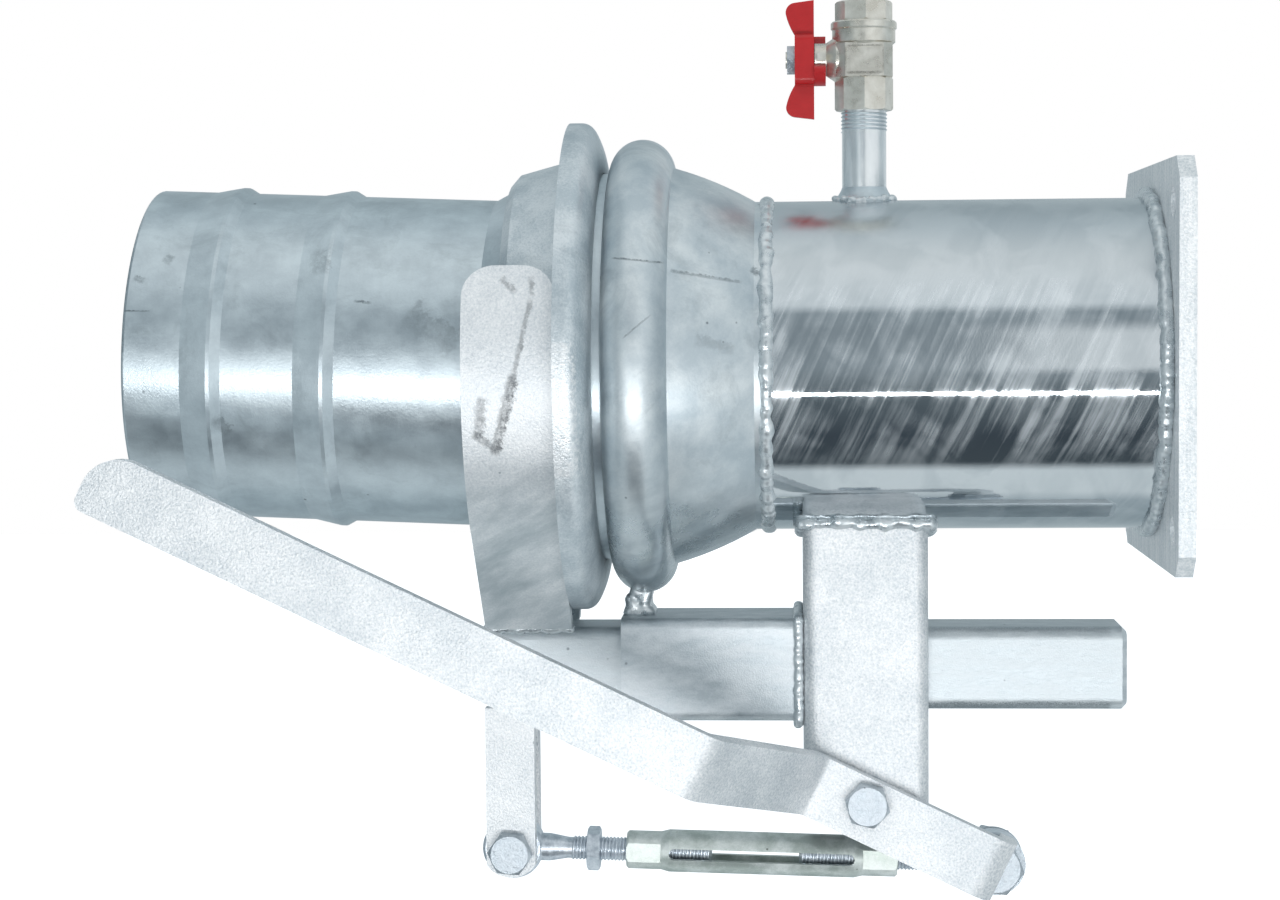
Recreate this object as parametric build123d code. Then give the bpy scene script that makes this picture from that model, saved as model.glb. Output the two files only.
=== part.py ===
from build123d import *
import os
from math import atan2, cos, radians, sin, sqrt

# Irrigation quick coupling for a 159 mm water pipe: a flanged bell half and a hose tail half,
# drawn together by a lever, a turnbuckle and a sliding yoke.
# Millimetres. The origin is the centre of the flange's outer face, on the pipe axis.
# +X points out of the flange, the hose tail lies towards -X, +Z is up and +Y is the rear side.

# Fits between pieces
run_fit = 0.05          # radial gap of a shaft that turns in a hole
seat_fit = 0.05         # radial gap of a shaft that is clamped in a hole
face_gap = 0.3          # gap between faces that move past each other
ball_fit = 0.35         # gap between the ball and the ring, and the ball and the seal

# Pipe and flange
pipe_r = 79.5
pipe_wall = 4.0
pipe_left = -192.4
flange_side = 190.0
flange_thick = 8.0
flange_corner = 10.0
flange_inset = 3.0      # how far the pipe stops short of the flange's outer face
bolt_spacing = 150.0
bolt_hole_r = 7.0
flange_fillet = 7.0

# Ball joint of the hose tail
ball_x = -276.0
ball_r = pipe_r + 14.5
ball_nose = 52.0        # from the ball's centre to the open nose
tail_wall = 4.0
tail_len = 215.5        # from the ball's centre to the hose end
tail_tilt = 2.3         # degrees that the hose end stands up in the ball joint
rib_places = (174.0, 121.0)
rib_high = 2.6
rib_ramp = 14.0
rib_drop = 5.0
tail_edge = 1.5

# Bell half
bead_x = -252.2
bead_out = 15.2         # radius of the rolled bead's section, outside
bead_end_angle = 5.0
mouth_r = ball_r + 0.9
bell_wall = 4.0
throat_bulge = 1.3
neck_len = 5.5          # plain end of the bell that meets the pipe
seal_lip = 1.5
butt_weld_width = 8.0
butt_weld_high = 1.8

# Loose ring behind the ball
ring_left = -287.0
ring_right = -271.3
ring_r = ball_r + 24.4
ring_edge = 5.0         # flat rim of the flange before its front rounds off
ring_hub_left = -314.8
ring_hub_lip = ball_r - 4.7
ring_hub_r = ball_r - 0.2
ring_hub_chamfer = 4.0
ring_root_r = ball_r + 6.2
ring_front_r = ball_r + 4.0

# Guide tube under the bell
guide_side = 50.0
guide_corner = 5.0
guide_left = -263.7
guide_bead = 4.0
saddle_high = 10.9      # weld metal between the bell's bead and the guide tube
saddle_long = 15.0
saddle_wide = 18.0

# Sliding yoke
slide_side = 40.0
slide_wall = 4.0
slide_corner = 6.0
slide_z = -(mouth_r + bead_out + saddle_high + guide_side / 2)
slide_right = -21.0
slide_cap = 4.0
strap_width = 42.0
strap_thick = 6.0
strap_in_r = ring_root_r + 0.4
strap_top_z = 48.6
strap_corner = 15.0
strap_foot_angle = 45.0
strap_bead = 4.5

# Hanger
hanger_side = 60.0
hanger_wall = 4.0
hanger_corner = 7.0
hanger_x = -146.0
hanger_bottom = slide_z - 73.5
hanger_foot_corner = 8.0
hanger_bead = 4.0

# Lever
lever_pivot = (hanger_x, slide_z - 61.5)
lever_angle = -25.54
lever_width = 30.0
lever_thick = 8.0
lever_drop = 3.2        # the bar's centre line lies this far below the pivot
handle_front = -(ring_r + 3.6 + lever_thick)    # front face of the handle, clear of the ring
jog_near = 26.0         # from the pivot to the first bend of the jog
jog_far = 80.5          # from the pivot to the second bend
handle_reach = 385.5    # from the pivot to the handle's rounded end
handle_round = (5.0, 18.0)    # lower and upper corner of the handle's end
crank_reach = 74.0      # from the pivot to the outer face of the bent end
bend_r = 4.0            # inside radius of the bar's bends

# Link and turnbuckle
lug_eye = (-319.3, slide_z - 90.9)
crank_eye = (-83.5, slide_z - 97.3)
eye_r = 15.0
eye_thick = 14.4
rod_r = 5.2             # at the root of the thread, which is an M12
rod_start = 27.0        # from an eye's centre to the start of its rod
left_rod_end = 98.0
right_rod_end = 95.0
sleeve_left = 56.0      # from the lug eye to the sleeve's ends
sleeve_right = 189.0
sleeve_r = 10.4
sleeve_boss_r = 9.35
sleeve_boss = 17.0
sleeve_taper = 4.0
sleeve_bore_r = 7.4
slot_width = 5.6
jam_nut_from = 36.5
jam_nut_thick = 6.5

# Lugs under the yoke
lug_width = 24.0
lug_thick = 8.0
lug_below = 12.7
lug_bulge = 6.3

# Bolts: shank radius, width across flats, heights of head, nut and washer, radius at the thread's root
m12 = {"r": 6.0, "flats": 19.0, "head": 7.5, "nut": 10.8, "washer_r": 12.0, "washer": 2.5, "root": 5.2}
m16 = {"r": 8.0, "flats": 24.0, "head": 10.0, "nut": 13.0, "washer_r": 15.0, "washer": 2.6, "root": 7.0}
thread_past_nut = 3.5

# Test cock: nipple and ball valve
nipple_x = -145.3
nipple_r = 10.65
nipple_wall = 2.6
nipple_in_pipe = 4.0    # how far the nipple's foot reaches into the pipe's wall
nipple_weld_r = 15.2
nipple_weld_high = 6.5
valve_foot = pipe_r + 43.3
valve_foot_high = 15.8
valve_flats = 26.0
valve_foot_ease = 0.8
valve_mid_side = 27.2
valve_mid_corner = 4.4
valve_mid_top = valve_foot + valve_foot_high + 16.0
valve_collar_r = 15.2
valve_collar_top = valve_mid_top + 6.7
valve_thread_depth = 12.0
valve_bore_r = 6.5
valve_panel = (17.0, 12.0)
valve_panel_deep = 0.5
neck_r = 7.9
neck_left = -169.0
neck_flare = 4.5
stop_side = 4.0
stop_r = 10.6
cap_ring_r = 15.9
cap_ring_high = 4.2
cap_flats = 25.6
cap_top = valve_collar_top + 13.7
port_r = 9.5
port_depth = 12.0
seat_thick = 3.0
seat_out = 9.0          # from the valve ball's centre to the back of a seat ring
valve_ball_r = 10.0
valve_chamber_r = 10.6
stem_r = 4.0
stem_slot = 2.4
stem_left = -183.0
gland_r = 5.8
gland_deep = 5.0
hub_left = -178.6
hub_high = 24.2
hub_width = 17.0
wing_tip = 28.6
wing_flare = 4.3
wing_thick = 3.6
skirt_deep = 5.6
skirt_in_r = 8.4
skirt_out_r = 12.6
skirt_low = (-112.0, -19.0)
skirt_high = (112.0, 165.0)
handle_nut_flats = 13.0
handle_nut_left = -182.3

# Places that follow from the sizes above
pipe_in_r = pipe_r - pipe_wall
pipe_right = -flange_inset
strap_out_r = strap_in_r + strap_thick
strap_left = ring_left - face_gap - strap_width
slide_top = slide_z + slide_side / 2
slide_bottom = slide_z - slide_side / 2
hanger_left = hanger_x - hanger_side / 2
pivot_washer_y = -hanger_side / 2 - m12["washer"]
lever_rear = pivot_washer_y - face_gap
lever_front = lever_rear - lever_thick
lug_in = eye_thick / 2 + face_gap
lug_out = lug_in + lug_thick
crank_back = -(eye_thick / 2 + m16["washer"] + m16["head"])
guide_top = slide_z + guide_side / 2
guide_wall = (guide_side - slide_side) / 2 - face_gap
valve_ball_z = (valve_foot + valve_foot_high + valve_mid_top) / 2 + 1.0
hub_right = neck_left - face_gap


def rod_x(radius, x0, x1, y=0.0, z=0.0):
    # Round bar along X
    plane = Plane(origin=(x0, y, z), x_dir=(0, 1, 0), z_dir=(1, 0, 0))
    return extrude(plane * Circle(radius), x1 - x0)


def rod_y(radius, x, z, y0, y1):
    # Round bar along Y
    plane = Plane(origin=(x, y0, z), x_dir=(1, 0, 0), z_dir=(0, 1, 0))
    return extrude(plane * Circle(radius), y1 - y0)


def rod_z(radius, x, z0, z1):
    # Round bar along Z
    return extrude(Plane.XY.offset(z0) * Pos(x, 0) * Circle(radius), z1 - z0)


def hex_y(flats, x, z, y0, y1, turn=0.0):
    # Hexagonal block along Y
    plane = Plane(origin=(x, y0, z), x_dir=(1, 0, 0), z_dir=(0, 1, 0))
    sketch = plane * Rot(0, 0, turn) * RegularPolygon(flats / 2, 6, major_radius=False)
    return extrude(sketch, y1 - y0)


def turned(outline, axis=Axis.X):
    # Solid of revolution from a closed outline of (x, radius)
    return revolve(Plane.XZ * make_face(outline), axis, 360)


def square_tube(side, wall, corner, x0, x1, z, inner_corner=None):
    # Square hollow section along X
    inner = side / 2 - wall
    inside_r = max(corner - wall, 1.0) if inner_corner is None else inner_corner
    plane = Plane(origin=(x0, 0, z), x_dir=(0, 1, 0), z_dir=(1, 0, 0))
    section = RectangleRounded(side, side, corner) - RectangleRounded(2 * inner, 2 * inner, inside_r)
    return extrude(plane * section, x1 - x0)


def write(shape, name):
    export_step(shape, "parts/" + name + ".step")


def make_flange():
    plate = Plane.YZ.offset(-flange_thick) * Rectangle(flange_side, flange_side)
    plate = chamfer(plate.vertices(), flange_corner)
    plate -= Plane.YZ.offset(-flange_thick) * Circle(pipe_r + seat_fit)
    for y in (-bolt_spacing / 2, bolt_spacing / 2):
        for z in (-bolt_spacing / 2, bolt_spacing / 2):
            plate -= Plane.YZ.offset(-flange_thick) * Pos(y, z) * Circle(bolt_hole_r)
    return extrude(plate, flange_thick)


def make_flange_weld():
    # Fillet bead between the pipe and the flange's inner face
    root = (-flange_thick, pipe_r)
    toe = (-flange_thick, pipe_r + flange_fillet)
    heel = (-flange_thick - flange_fillet, pipe_r)
    crown = (-flange_thick - 0.6 * flange_fillet, pipe_r + 0.6 * flange_fillet)
    return turned(Line(root, toe) + ThreePointArc(toe, crown, heel) + Line(heel, root))


def make_inlet_pipe():
    pipe = rod_x(pipe_r, pipe_left, pipe_right) - rod_x(pipe_in_r, pipe_left, pipe_right)
    pipe -= rod_z(nipple_r - nipple_wall, nipple_x, 0, pipe_r + 1)
    return pipe - rod_z(nipple_r + seat_fit, nipple_x, pipe_r - nipple_in_pipe, pipe_r + 1)


def bell_skin(bead_radius, inset):
    # One skin of the bell, filled to the axis: over the bead, down the throat and into the pipe.
    # inset is how far the skin lies inside the bell's outer face
    end = radians(bead_end_angle)
    crease = (bead_x + bead_out * cos(end), mouth_r + bead_out * sin(end))
    neck = (pipe_left - neck_len, pipe_r)
    slope = atan2(neck[1] - crease[1], neck[0] - crease[0])
    across = (-sin(slope), cos(slope))
    # The throat's straight chord, moved in by the inset, meets the bead's circle again
    base = (crease[0] - bead_x - inset * across[0], crease[1] - mouth_r - inset * across[1])
    off = base[0] * across[0] + base[1] * across[1]
    along = sqrt(bead_radius ** 2 - off ** 2)
    crease = (bead_x + off * across[0] + along * cos(slope), mouth_r + off * across[1] + along * sin(slope))
    neck = (neck[0] + inset * sin(slope / 2), pipe_r - inset)
    middle = ((crease[0] + neck[0]) / 2 + throat_bulge * across[0],
              (crease[1] + neck[1]) / 2 + throat_bulge * across[1])
    mouth = (bead_x - bead_radius, mouth_r)
    front = bead_x - bead_out - inset
    outline = Polyline((pipe_left + inset, 0), (front, 0), (front, mouth_r))
    if inset:
        outline += Line((front, mouth_r), mouth)
    outline += ThreePointArc(mouth, (bead_x, mouth_r + bead_radius), crease)
    outline += ThreePointArc(crease, middle, neck)
    outline += Polyline(neck, (pipe_left + inset, pipe_r - inset), (pipe_left + inset, 0))
    return turned(outline)


def make_bell():
    return bell_skin(bead_out, 0) - bell_skin(bead_out - bell_wall, bell_wall)


def make_butt_weld():
    half = butt_weld_width / 2
    left = (pipe_left - half, pipe_r)
    right = (pipe_left + half, pipe_r)
    top = (pipe_left, pipe_r + butt_weld_high)
    return turned(ThreePointArc(left, top, right) + Line(right, left))


def make_seal():
    # Rubber ring that fills the bead, with a lip that follows the ball
    groove = bead_out - bell_wall - face_gap
    seat = ball_r + ball_fit
    left, right = bead_x - groove, bead_x + groove

    def on_ball(x):
        return (x, sqrt(seat ** 2 - (x - ball_x) ** 2))

    lip = on_ball(right - seal_lip)
    outline = Line(on_ball(left), (left, mouth_r))
    outline += ThreePointArc((left, mouth_r), (bead_x, mouth_r + groove), (right, mouth_r))
    outline += Line((right, mouth_r), lip)
    outline += ThreePointArc(lip, on_ball(bead_x), on_ball(left))
    return turned(outline)


def tail_outline():
    # Outside of the hose tail along its own axis, from the hose end to the nose, ball centre at 0
    neck = -sqrt(ball_r ** 2 - pipe_r ** 2)
    points = [(-tail_len, pipe_r)]
    for place in rib_places:
        points += [(-place - rib_ramp, pipe_r), (-place - 1.2, pipe_r + rib_high),
                   (-place + 0.6, pipe_r + rib_high), (-place + rib_drop, pipe_r)]
    points.append((neck, pipe_r))
    nose = sqrt(ball_r ** 2 - ball_nose ** 2)
    with BuildLine() as line:
        Polyline(*points)
        ThreePointArc((neck, pipe_r), (0, ball_r), (ball_nose, nose))
    return line.wires()[0]


def tail_place():
    # Carries the hose tail from its own axis to its tilted place in the ball joint
    return Pos(ball_x, 0, 0) * Rot(0, tail_tilt, 0)


def make_tail():
    skin = offset(tail_outline(), tail_wall, kind=Kind.INTERSECTION, side=Side.RIGHT)
    tail = revolve(Plane.XZ * make_face(skin), Axis.X, 360)
    end = tail.edges().filter_by(GeomType.CIRCLE).sort_by(Axis.X)[:2].sort_by(SortBy.RADIUS)[-1]
    return tail_place() * fillet(end, tail_edge)


def make_ring():
    # Ring with a conical hub. Its bore is a spherical seat round the back of the ball
    seat = ball_r + ball_fit
    bore_left = sqrt(seat ** 2 - (ring_hub_left - ball_x) ** 2)
    bore_right = sqrt(seat ** 2 - (ring_right - ball_x) ** 2)
    edge_x = ring_left + ring_edge
    deep, wide = ring_r - ring_front_r, ring_right - edge_x
    outline = Polyline((ring_hub_left, bore_left), (ring_hub_left, ring_hub_lip),
                       (ring_hub_left + ring_hub_chamfer, ring_hub_r), (ring_left, ring_root_r),
                       (ring_left, ring_r), (edge_x, ring_r))
    middle = (edge_x + wide * sin(radians(45)), ring_front_r + deep * cos(radians(45)))
    outline += Spline((edge_x, ring_r), middle, (ring_right, ring_front_r), tangents=((1, 0), (0, -1)))
    outline += Line((ring_right, ring_front_r), (ring_right, bore_right))
    outline += ThreePointArc((ring_right, bore_right), (ball_x, seat), (ring_hub_left, bore_left))
    return turned(outline)


def make_slide():
    return square_tube(slide_side, slide_wall, slide_corner, strap_left, slide_right - slide_cap, slide_z)


def make_slide_cap():
    # End plate welded into the bar's open end, with its edge eased
    plane = Plane(origin=(slide_right - slide_cap, 0, slide_z), x_dir=(0, 1, 0), z_dir=(1, 0, 0))
    cap = extrude(plane * RectangleRounded(slide_side, slide_side, slide_corner), slide_cap)
    return chamfer(cap.faces().sort_by(Axis.X)[-1].edges(), slide_cap * 0.6)


def strap_side():
    # Section of one half of the strap, seen along the pipe: an arc round the ring's hub and a
    # straight leg at a tangent down to the slide bar
    foot = radians(strap_foot_angle)
    top = atan2(strap_top_z, sqrt(strap_out_r ** 2 - strap_top_z ** 2))

    def at(radius, angle):
        return (radius * cos(angle), radius * sin(angle))

    def leg_end(radius):
        # Where the leg's straight line meets the slide bar's top face
        start = at(radius, -foot)
        run = (start[1] - slide_top) / cos(foot)
        return (start[0] - run * sin(foot), slide_top)

    middle = (top - foot) / 2
    outline = ThreePointArc(at(strap_out_r, top), at(strap_out_r, middle), at(strap_out_r, -foot))
    outline += Line(at(strap_out_r, -foot), leg_end(strap_out_r))
    outline += Line(leg_end(strap_out_r), leg_end(strap_in_r))
    outline += Line(leg_end(strap_in_r), at(strap_in_r, -foot))
    outline += ThreePointArc(at(strap_in_r, -foot), at(strap_in_r, middle), at(strap_in_r, top))
    outline += Line(at(strap_in_r, top), at(strap_out_r, top))
    return outline, leg_end(strap_out_r)[0]


def make_strap():
    # Two bent flats, one each side of the pipe, rounded at their upper ends
    outline, foot_y = strap_side()
    plane = Plane(origin=(strap_left, 0, 0), x_dir=(0, 1, 0), z_dir=(1, 0, 0))
    half = extrude(plane * make_face(outline), strap_width)
    end_face = half.faces().filter_by(lambda f: abs(f.normal_at().X) < 0.5).sort_by(Axis.Z)[-1]
    corners = end_face.edges().filter_by(lambda e: abs(e.tangent_at(0.5).X) < 0.5)
    half = fillet(corners, strap_corner)
    return [half, mirror(half, Plane.XZ)], foot_y


def make_strap_weld():
    # Beads along the straps' feet on the slide bar
    foot_y = strap_side()[1]
    beads = []
    for side in (-1, 1):
        bead = rod_x(strap_bead, strap_left + 1, strap_left + strap_width - 1, side * foot_y, slide_top)
        block = Pos(strap_left + strap_width / 2, 0, slide_z) * Box(strap_width + 2, slide_side, slide_side)
        bead = bead - block
        for half in make_strap()[0]:
            bead = bead - half
        parts = bead.solids().sort_by(SortBy.VOLUME)
        beads.append(parts[-1])
    return beads


def make_lugs():
    # Two plates under the slide bar, with a hole for the link's bolt
    x, z = lug_eye
    low = z - lug_below
    left, right = x - lug_width / 2, x + lug_width / 2
    outline = Polyline((left, low + lug_bulge), (left, slide_bottom), (right, slide_bottom),
                       (right, low + lug_bulge))
    outline += ThreePointArc((right, low + lug_bulge), (x, low), (left, low + lug_bulge))
    face = make_face(outline)
    lugs = []
    for y in (-lug_out, lug_in):
        plane = Plane(origin=(0, y + lug_thick, 0), x_dir=(1, 0, 0), z_dir=(0, -1, 0))
        lugs.append(extrude(plane * face, lug_thick) - rod_y(m12["r"] + seat_fit, x, z, y, y + lug_thick))
    return lugs


def make_bolt(size, place, head_back, grip_end, turn):
    # Hexagon bolt along Y, with its head at the front. head_back is the face under the head
    x, z = place
    head = hex_y(size["flats"], x, z, head_back - size["head"], head_back, turn)
    head = head & turned_head(size, place, head_back)
    shank = rod_y(size["r"], x, z, head_back, grip_end - thread_past_nut)
    return head + shank + rod_y(size["root"], x, z, head_back, grip_end)


def turned_head(size, place, head_back):
    # Chamfer cone of a bolt head
    corner = size["flats"] / sqrt(3)
    deep = (corner - size["flats"] / 2 * 0.96) * 0.6
    x, z = place
    blank = rod_y(corner, x, z, head_back - size["head"], head_back)
    front = blank.faces().sort_by(Axis.Y)[0]
    return chamfer(front.edges(), deep, corner - size["flats"] / 2 * 0.96)


def make_nut(size, place, y0, turn):
    x, z = place
    y1 = y0 + size["nut"]
    return hex_y(size["flats"], x, z, y0, y1, turn) - rod_y(size["r"], x, z, y0, y1)


def make_washer(size, place, y0):
    x, z = place
    y1 = y0 + size["washer"]
    return rod_y(size["washer_r"], x, z, y0, y1) - rod_y(size["r"] + seat_fit, x, z, y0, y1)


def link_frame():
    # Plane whose x runs along the link from the lug's eye to the crank's eye, and y is up
    (x0, z0), (x1, z1) = lug_eye, crank_eye
    length = sqrt((x1 - x0) ** 2 + (z1 - z0) ** 2)
    along = ((x1 - x0) / length, 0, (z1 - z0) / length)
    return Plane(origin=(x0, 0, z0), x_dir=along, z_dir=(0, -1, 0)), length


def link_turned(outline):
    # Solid of revolution about the link's own axis
    plane, length = link_frame()
    axis = Axis((plane.origin.X, 0, plane.origin.Z), (plane.x_dir.X, 0, plane.x_dir.Z))
    return revolve(plane * make_face(outline), axis, 360)


def make_eye_screw(place, reach, bolt_r, towards):
    # Forged eye, necked down to a threaded rod. towards is 1 for the lug end and -1 for the crank end
    plane, length = link_frame()
    start = 0 if towards == 1 else length

    def on(distance):
        return start + towards * distance

    neck_r = eye_thick / 2 - 0.4
    shank = Polyline((on(0), 0), (on(0), neck_r), (on(eye_r + 3), neck_r), (on(rod_start), rod_r),
                     (on(reach - 1), rod_r), (on(reach), rod_r - 1), (on(reach), 0), close=True)
    eye = rod_y(eye_r, place[0], place[1], -eye_thick / 2, eye_thick / 2)
    eye = chamfer(eye.edges().filter_by(GeomType.CIRCLE), 1.5)
    return eye + link_turned(shank) - rod_y(bolt_r + run_fit, place[0], place[1], -eye_thick, eye_thick)


def make_jam_nut():
    plane, length = link_frame()
    nut_plane = Plane(origin=plane.from_local_coords((jam_nut_from, 0, 0)), x_dir=(0, 1, 0),
                      z_dir=plane.x_dir)
    blank = nut_plane * Rot(0, 0, 12) * RegularPolygon(m12["flats"] / 2, 6, major_radius=False)
    corner = m12["flats"] / sqrt(3)
    nut = extrude(blank, jam_nut_thick)
    jam_nut_to = jam_nut_from + jam_nut_thick
    ends = Polyline((jam_nut_from, 0), (jam_nut_from, corner - 1.4), (jam_nut_from + 0.8, corner),
                    (jam_nut_to - 0.8, corner), (jam_nut_to, corner - 1.4), (jam_nut_to, 0), close=True)
    nut = nut & link_turned(ends)
    return nut - extrude(nut_plane * Circle(rod_r + run_fit), jam_nut_thick)


def make_sleeve():
    # Slotted turnbuckle sleeve with a threaded boss at each end
    plane, length = link_frame()
    a, b = sleeve_left, sleeve_right
    body = link_turned(Polyline((a, 0), (a, sleeve_boss_r - 1), (a + 1, sleeve_boss_r),
                                (a + sleeve_boss, sleeve_boss_r), (a + sleeve_boss + sleeve_taper, sleeve_r),
                                (b - sleeve_boss - sleeve_taper, sleeve_r), (b - sleeve_boss, sleeve_boss_r),
                                (b - 1, sleeve_boss_r), (b, sleeve_boss_r - 1), (b, 0), close=True))
    through = link_turned(Polyline((a - 1, 0), (a - 1, rod_r + run_fit), (b + 1, rod_r + run_fit),
                                   (b + 1, 0), close=True))
    hollow = link_turned(Polyline((a + sleeve_boss, 0), (a + sleeve_boss, sleeve_bore_r),
                                  (b - sleeve_boss, sleeve_bore_r), (b - sleeve_boss, 0), close=True))
    slot_len = (b - a) - 2 * (sleeve_boss + sleeve_taper)
    slot = plane * Pos((a + b) / 2, 0) * SlotOverall(slot_len, slot_width)
    flats = plane * Pos((a + b) / 2, 0) * Rectangle(b - a + 2, 3 * sleeve_r)
    sides = extrude(flats, amount=sleeve_boss_r * 0.87, both=True)
    ends = body & sides
    middle = link_turned(Polyline((a + sleeve_boss, 0), (a + sleeve_boss, sleeve_r),
                                  (b - sleeve_boss, sleeve_r), (b - sleeve_boss, 0), close=True))
    body = ends + (body & middle)
    return body - through - hollow - extrude(slot, amount=2 * sleeve_r, both=True)


def lever_point(along, across, y):
    # A point of the lever from its place along the bar, across it and in depth
    turn = radians(lever_angle)
    x = lever_pivot[0] + along * cos(turn) - across * sin(turn)
    z = lever_pivot[1] + along * sin(turn) + across * cos(turn)
    return (x, y, z)


def make_lever():
    # Flat bar bent three times: a jog that brings the handle forward, and a bent end at the link.
    # The path is the bar's front face, so a bend takes the inside or the outside radius
    outside = bend_r + lever_thick
    path = FilletPolyline((-handle_reach, handle_front), (-jog_far, handle_front), (-jog_near, lever_front),
                          (crank_reach, lever_front), (crank_reach, crank_back - face_gap),
                          radius=[outside, bend_r, outside])
    skin = offset(path, lever_thick, kind=Kind.INTERSECTION, side=Side.LEFT)
    turn = radians(lever_angle)
    plane = Plane(origin=lever_point(0, -lever_drop - lever_width / 2, 0), x_dir=(cos(turn), 0, sin(turn)),
                  z_dir=(-sin(turn), 0, cos(turn)))
    bar = extrude(plane * make_face(skin), lever_width)
    end = bar.faces().sort_by(Axis.X)[0]
    low, high = end.edges().filter_by(Axis.Y).sort_by(Axis.Z)
    bar = fillet(high, handle_round[1])
    low = bar.faces().sort_by(Axis.X)[0].edges().filter_by(Axis.Y).sort_by(Axis.Z)[0]
    bar = fillet(low, handle_round[0])
    return bar - rod_y(m12["r"] + run_fit, lever_pivot[0], lever_pivot[1], 2 * handle_front, 0)


def make_guide():
    return square_tube(guide_side, guide_wall, guide_corner, guide_left, hanger_left, slide_z, 2.0)


def guide_frame(x0, x1, grow):
    # Square frame of weld metal round the guide tube
    plane = Plane(origin=(x0, 0, slide_z), x_dir=(0, 1, 0), z_dir=(1, 0, 0))
    outside = RectangleRounded(guide_side + 2 * grow, guide_side + 2 * grow, guide_corner + grow)
    return extrude(plane * (outside - RectangleRounded(guide_side, guide_side, guide_corner)), x1 - x0)


def make_guide_weld():
    # Bead where the guide tube meets the hanger, eased at its outer corner
    bead = guide_frame(hanger_left - guide_bead, hanger_left, guide_bead)
    outer = bead.faces().sort_by(Axis.X)[0].outer_wire().edges()
    return chamfer(outer, guide_bead * 0.7)


def make_saddle_weld():
    # Weld metal that ties the guide tube to the underside of the bell's bead
    low = guide_top
    block = Box(saddle_long, saddle_wide, bead_out)
    block = Pos(guide_left + saddle_long / 2, 0, low + bead_out / 2) * block
    block = fillet(block.edges().filter_by(Axis.Z), 4.0)
    lump = block - bell_skin(bead_out, 0)
    return lump.solids().sort_by(Axis.Z)[0]


def make_hanger():
    # Square tube that hangs under the pipe. The slide bar passes through it and the lever turns on it
    section = RectangleRounded(hanger_side, hanger_side, hanger_corner)
    inner = hanger_side - 2 * hanger_wall
    section -= RectangleRounded(inner, inner, hanger_corner - hanger_wall)
    tube = extrude(Plane.XY.offset(hanger_bottom) * Pos(hanger_x, 0) * section, -hanger_bottom)
    tube -= rod_x(pipe_r, hanger_left - 1, hanger_left + hanger_side + 1)
    tube = tube.solids().sort_by(Axis.Z)[0]
    hole = 2 * (slide_side / 2 + face_gap)
    passage = Plane(origin=(hanger_left - 1, 0, slide_z), x_dir=(0, 1, 0), z_dir=(1, 0, 0))
    tube -= extrude(passage * RectangleRounded(hole, hole, slide_corner), hanger_side + 2)
    corner = hanger_foot_corner
    low = Plane.XZ.offset(-hanger_side) * Pos(hanger_x, hanger_bottom)
    for side in (-1, 1):
        edge = side * hanger_side / 2
        nick = Polyline((edge, 0), (edge, corner), (edge - side * corner, 0), close=True)
        tube -= extrude(low * make_face(nick), 2 * hanger_side)
    return tube - rod_y(m12["r"] + seat_fit, lever_pivot[0], lever_pivot[1], -hanger_side, hanger_side)


def make_hanger_weld():
    # Bead that follows the pipe's round side, all the way round the hanger
    grown = hanger_side + 2 * hanger_bead
    section = RectangleRounded(grown, grown, hanger_corner + hanger_bead)
    section -= RectangleRounded(hanger_side, hanger_side, hanger_corner)
    band = extrude(Plane.XY.offset(-pipe_r - hanger_bead) * Pos(hanger_x, 0) * section, pipe_r)
    reach = hanger_side
    shell = rod_x(pipe_r + hanger_bead, hanger_x - reach, hanger_x + reach) - rod_x(pipe_r, hanger_x - reach,
                                                                                  hanger_x + reach)
    return (band & shell).solids().sort_by(SortBy.VOLUME)[-1]


def make_nipple():
    top = valve_foot + valve_thread_depth
    low = pipe_r - nipple_in_pipe
    return rod_z(nipple_r, nipple_x, low, top) - rod_z(nipple_r - nipple_wall, nipple_x, low, top)


def nipple_turned(outline):
    # Solid of revolution about the nipple's axis, from an outline of (radius, z)
    return revolve(Plane(origin=(nipple_x, 0, 0), x_dir=(1, 0, 0), z_dir=(0, -1, 0)) * make_face(outline),
                   Axis((nipple_x, 0, 0), (0, 0, 1)), 360)


def make_nipple_weld():
    crown = ((nipple_r + nipple_weld_r) / 2 - 0.4, pipe_r + nipple_weld_high / 2 - 0.4)
    low = pipe_r - nipple_in_pipe
    outline = Line((nipple_r, low), (nipple_weld_r, low))
    outline += Line((nipple_weld_r, low), (nipple_weld_r, pipe_r))
    outline += ThreePointArc((nipple_weld_r, pipe_r), crown, (nipple_r, pipe_r + nipple_weld_high))
    outline += Line((nipple_r, pipe_r + nipple_weld_high), (nipple_r, low))
    return nipple_turned(outline) - rod_x(pipe_r, nipple_x - 2 * nipple_weld_r, nipple_x + 2 * nipple_weld_r)


def octagon(flats, z0, z1, turn=0.0):
    # Octagonal block on the nipple's axis, with its end corners eased
    shape = RegularPolygon(flats / 2, 8, major_radius=False)
    face = Plane.XY.offset(z0) * Pos(nipple_x, 0) * Rot(0, 0, turn) * shape
    corner = flats / 2 / cos(radians(22.5))
    ease = valve_foot_ease
    ends = nipple_turned(Polyline((0, z0), (corner - ease, z0), (corner, z0 + ease), (corner, z1 - ease),
                                  (corner - ease, z1), (0, z1), close=True))
    return extrude(face, z1 - z0) & ends


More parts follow.
